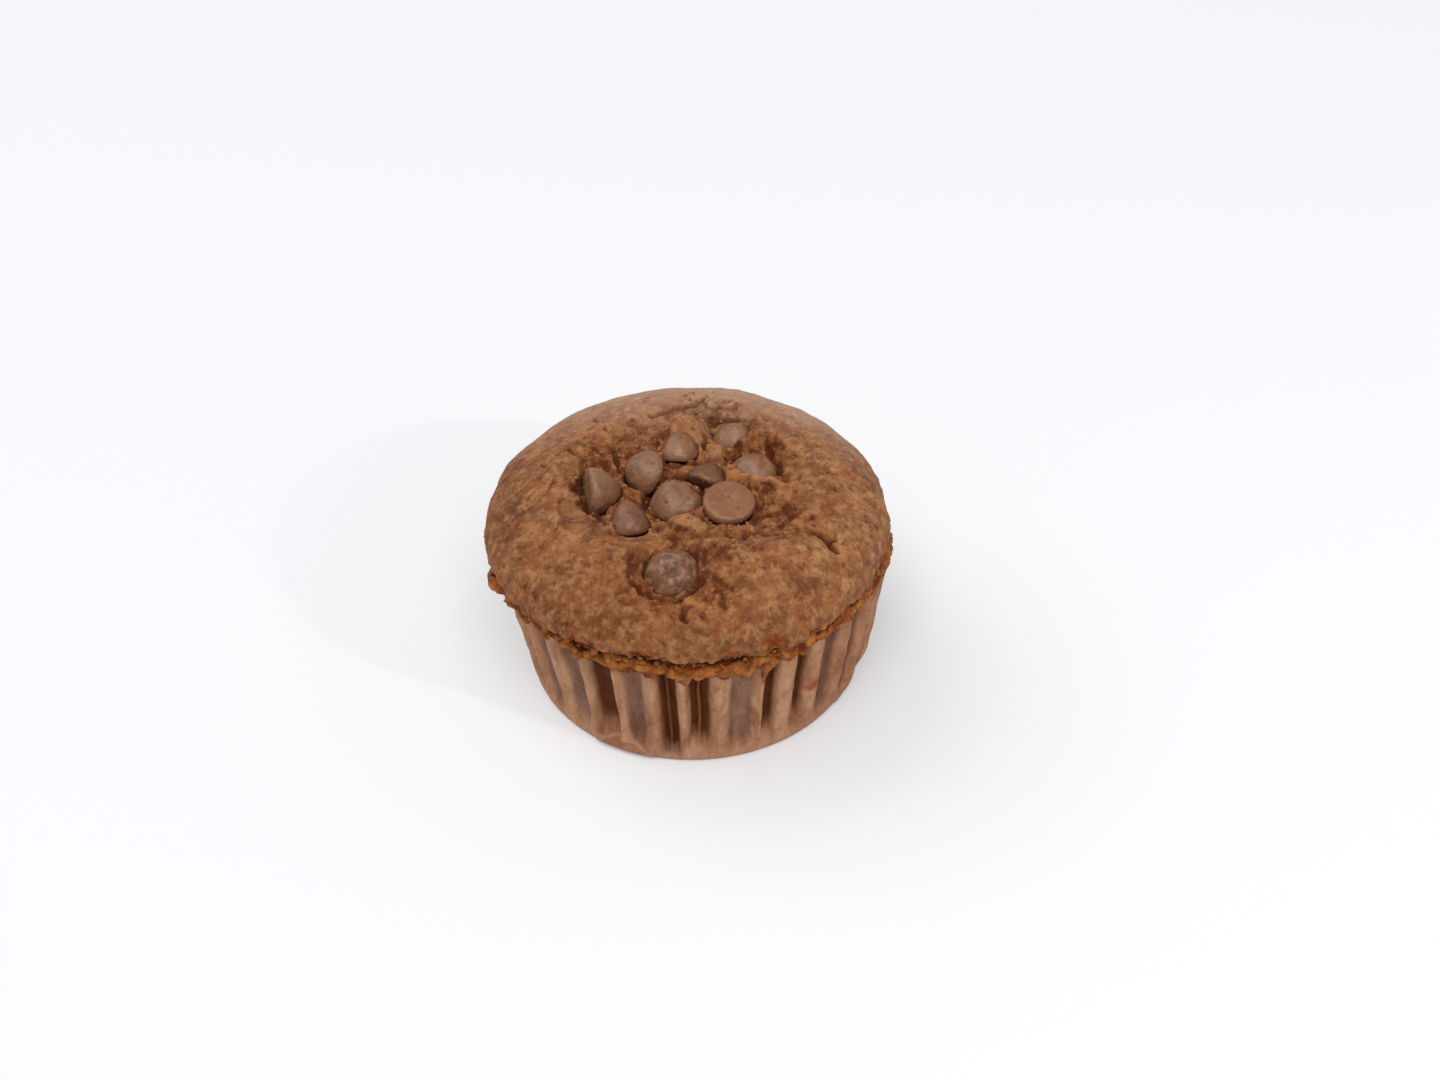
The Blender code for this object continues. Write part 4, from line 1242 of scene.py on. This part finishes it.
def make_studio():
    """White surroundings, a broad light from the front, a window light from the left and a small lamp on the right."""
    world = bpy.data.worlds.new("studio_sky")
    world.use_nodes = True
    sky = world.node_tree.nodes["Background"]
    sky.inputs["Color"].default_value, sky.inputs["Strength"].default_value = SKY
    bpy.context.scene.world = world
    for name, (azimuth, elevation, distance, size, power, colour) in LIGHTS.items():
        lamp = bpy.data.lights.new(name, "AREA")
        lamp.shape = "SQUARE"
        lamp.size = size
        lamp.energy = power
        lamp.color = colour
        placed = bpy.data.objects.new(name, lamp)
        bpy.context.scene.collection.objects.link(placed)
        rise = math.radians(elevation)
        placed.location = Vector(on_circle(distance * math.cos(rise), azimuth, distance * math.sin(rise)).tolist())
        placed.rotation_mode = "QUATERNION"
        placed.rotation_quaternion = (AIM - placed.location).to_track_quat("-Z", "Y")
    bpy.context.scene.view_settings.view_transform = "Standard"


PHOTO_SIZE = (1440.0, 1080.0)
FOCAL_PIXELS = 2000.0
SENSOR_WIDTH = 36.0
CAMERA_ELEVATION = 42.0
CAMERA_DISTANCE = 0.35945
CAMERA_ROLL = 2.07
AIM = Vector((0.0, 0.0, 0.0155))
AIM_PIXEL = (688.9, 581.1)


def make_camera():
    """The camera at the photo's angle: it looks along +Y and down, with AIM landing on AIM_PIXEL."""
    camera = bpy.data.objects.new("camera", bpy.data.cameras.new("camera"))
    bpy.context.scene.collection.objects.link(camera)
    camera.data.sensor_width = SENSOR_WIDTH
    camera.data.lens = FOCAL_PIXELS / PHOTO_SIZE[0] * SENSOR_WIDTH
    camera.data.clip_start = 0.01
    tilt = math.radians(CAMERA_ELEVATION)
    forward = Vector((0.0, math.cos(tilt), -math.sin(tilt)))
    right = Vector((1.0, 0.0, 0.0))
    look = Matrix((right, right.cross(forward), forward))
    off_x = (AIM_PIXEL[0] - PHOTO_SIZE[0] / 2.0) / FOCAL_PIXELS
    off_y = (PHOTO_SIZE[1] / 2.0 - AIM_PIXEL[1]) / FOCAL_PIXELS
    aside = Vector((0.0, 0.0, 1.0)).rotation_difference(Vector((off_x, off_y, 1.0))).to_matrix()
    axes = aside @ Matrix.Rotation(math.radians(CAMERA_ROLL), 3, "Z") @ look
    turned = Matrix((axes[0], axes[1], -axes[2])).transposed()
    camera.matrix_world = Matrix.Translation(AIM - forward * CAMERA_DISTANCE) @ turned.to_4x4()
    bpy.context.scene.camera = camera


# ---------------------------------------------------------------- putting it together

# Looks of the chips: dark and light tone, and strength of the bloom
CHIP_LOOKS = {
    "plain": ((114, 76, 54), (144, 102, 74), 0.25),
    "warm": ((106, 66, 46), (128, 84, 60), 0.1),
    "flat": ((122, 78, 54), (140, 96, 66), 0.08),
    "bloomed": ((94, 58, 40), (124, 86, 62), 0.7),
    "dark": ((84, 50, 32), (112, 74, 52), 0.1),
}
# Chip 6 takes the dark look: a darker copy of the chocolate, painted shade for a chip lying in the shade of the others
CHIP_KINDS = {6: "dark", 8: "flat", 9: "warm", 10: "bloomed"}


def dress(piece, material, replaced):
    """Gives a piece its material and its place in the frame."""
    piece.data.materials.append(material)
    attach(piece, "root")
    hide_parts(replaced)


def main():
    make_camera()
    make_studio()
    make_floor()
    baked = cake_material("baked_crumb", CRUMB_TONES, CRUMB_CAVITY_SHADE)
    soaked_and_shaded = cake_material("lip_crumb", LIP_TONES, LIP_CAVITY_SHADE_AND_SPOTS)
    middle, rim, places, torn, cavity = make_cake_top()
    lip, lip_places, on_lip = make_lip()
    dress(middle, baked, "cake")
    dress(rim, baked, "cake")
    dress(lip, soaked_and_shaded, "cake")
    dress(make_case(), paper_material(), "paper_case")
    looks = {name: chocolate_material("chocolate_" + name, *look) for name, look in CHIP_LOOKS.items()}
    dusted = []
    for number, chip in enumerate(CHIPS, start=1):
        look = looks[CHIP_KINDS.get(number, "plain")]
        piece, chip_places = make_chip(number, chip)
        dress(piece, look, f"chip_{number:02d}")
        dusted.append(chip_places[chip_places[:, 2] > chip[2] - 0.5])

    draw = np.random.default_rng(5)
    chosen, sizes = scattered(places, torn * (1.0 - 0.5 * cavity), TOP_CRUMBS, draw)
    dress(make_crumbs("top_crumbs", chosen, sizes, 6), baked, "cake")
    chip_places = np.concatenate(dusted)
    chosen, sizes = scattered(chip_places, np.ones(len(chip_places)), CHIP_CRUMBS, draw)
    dress(make_crumbs("chip_crumbs", chosen, sizes, 8), baked, "cake")
    chosen, sizes = scattered(lip_places, on_lip, LIP_CRUMBS, draw)
    count, smallest, largest = WEDGED_CRUMBS
    azimuth = CREVICE_MIDDLE + (CREVICE_HALF_WIDTH + CREVICE_FADE) * draw.uniform(-1.0, 1.0, count)
    out = draw.uniform(CRUST_RADIUS - 2.2, CRUST_RADIUS - 0.7, count)
    wedged = on_circle(out, azimuth, draw.uniform(LIP_TOP - 0.5, CRUST_HEIGHT + 0.2, count))
    sizes = np.concatenate([sizes, draw.uniform(smallest, largest, count)])
    dress(make_crumbs("rim_crumbs", np.concatenate([chosen, wedged]), sizes, 7), soaked_and_shaded, "cake")

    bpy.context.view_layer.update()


main()
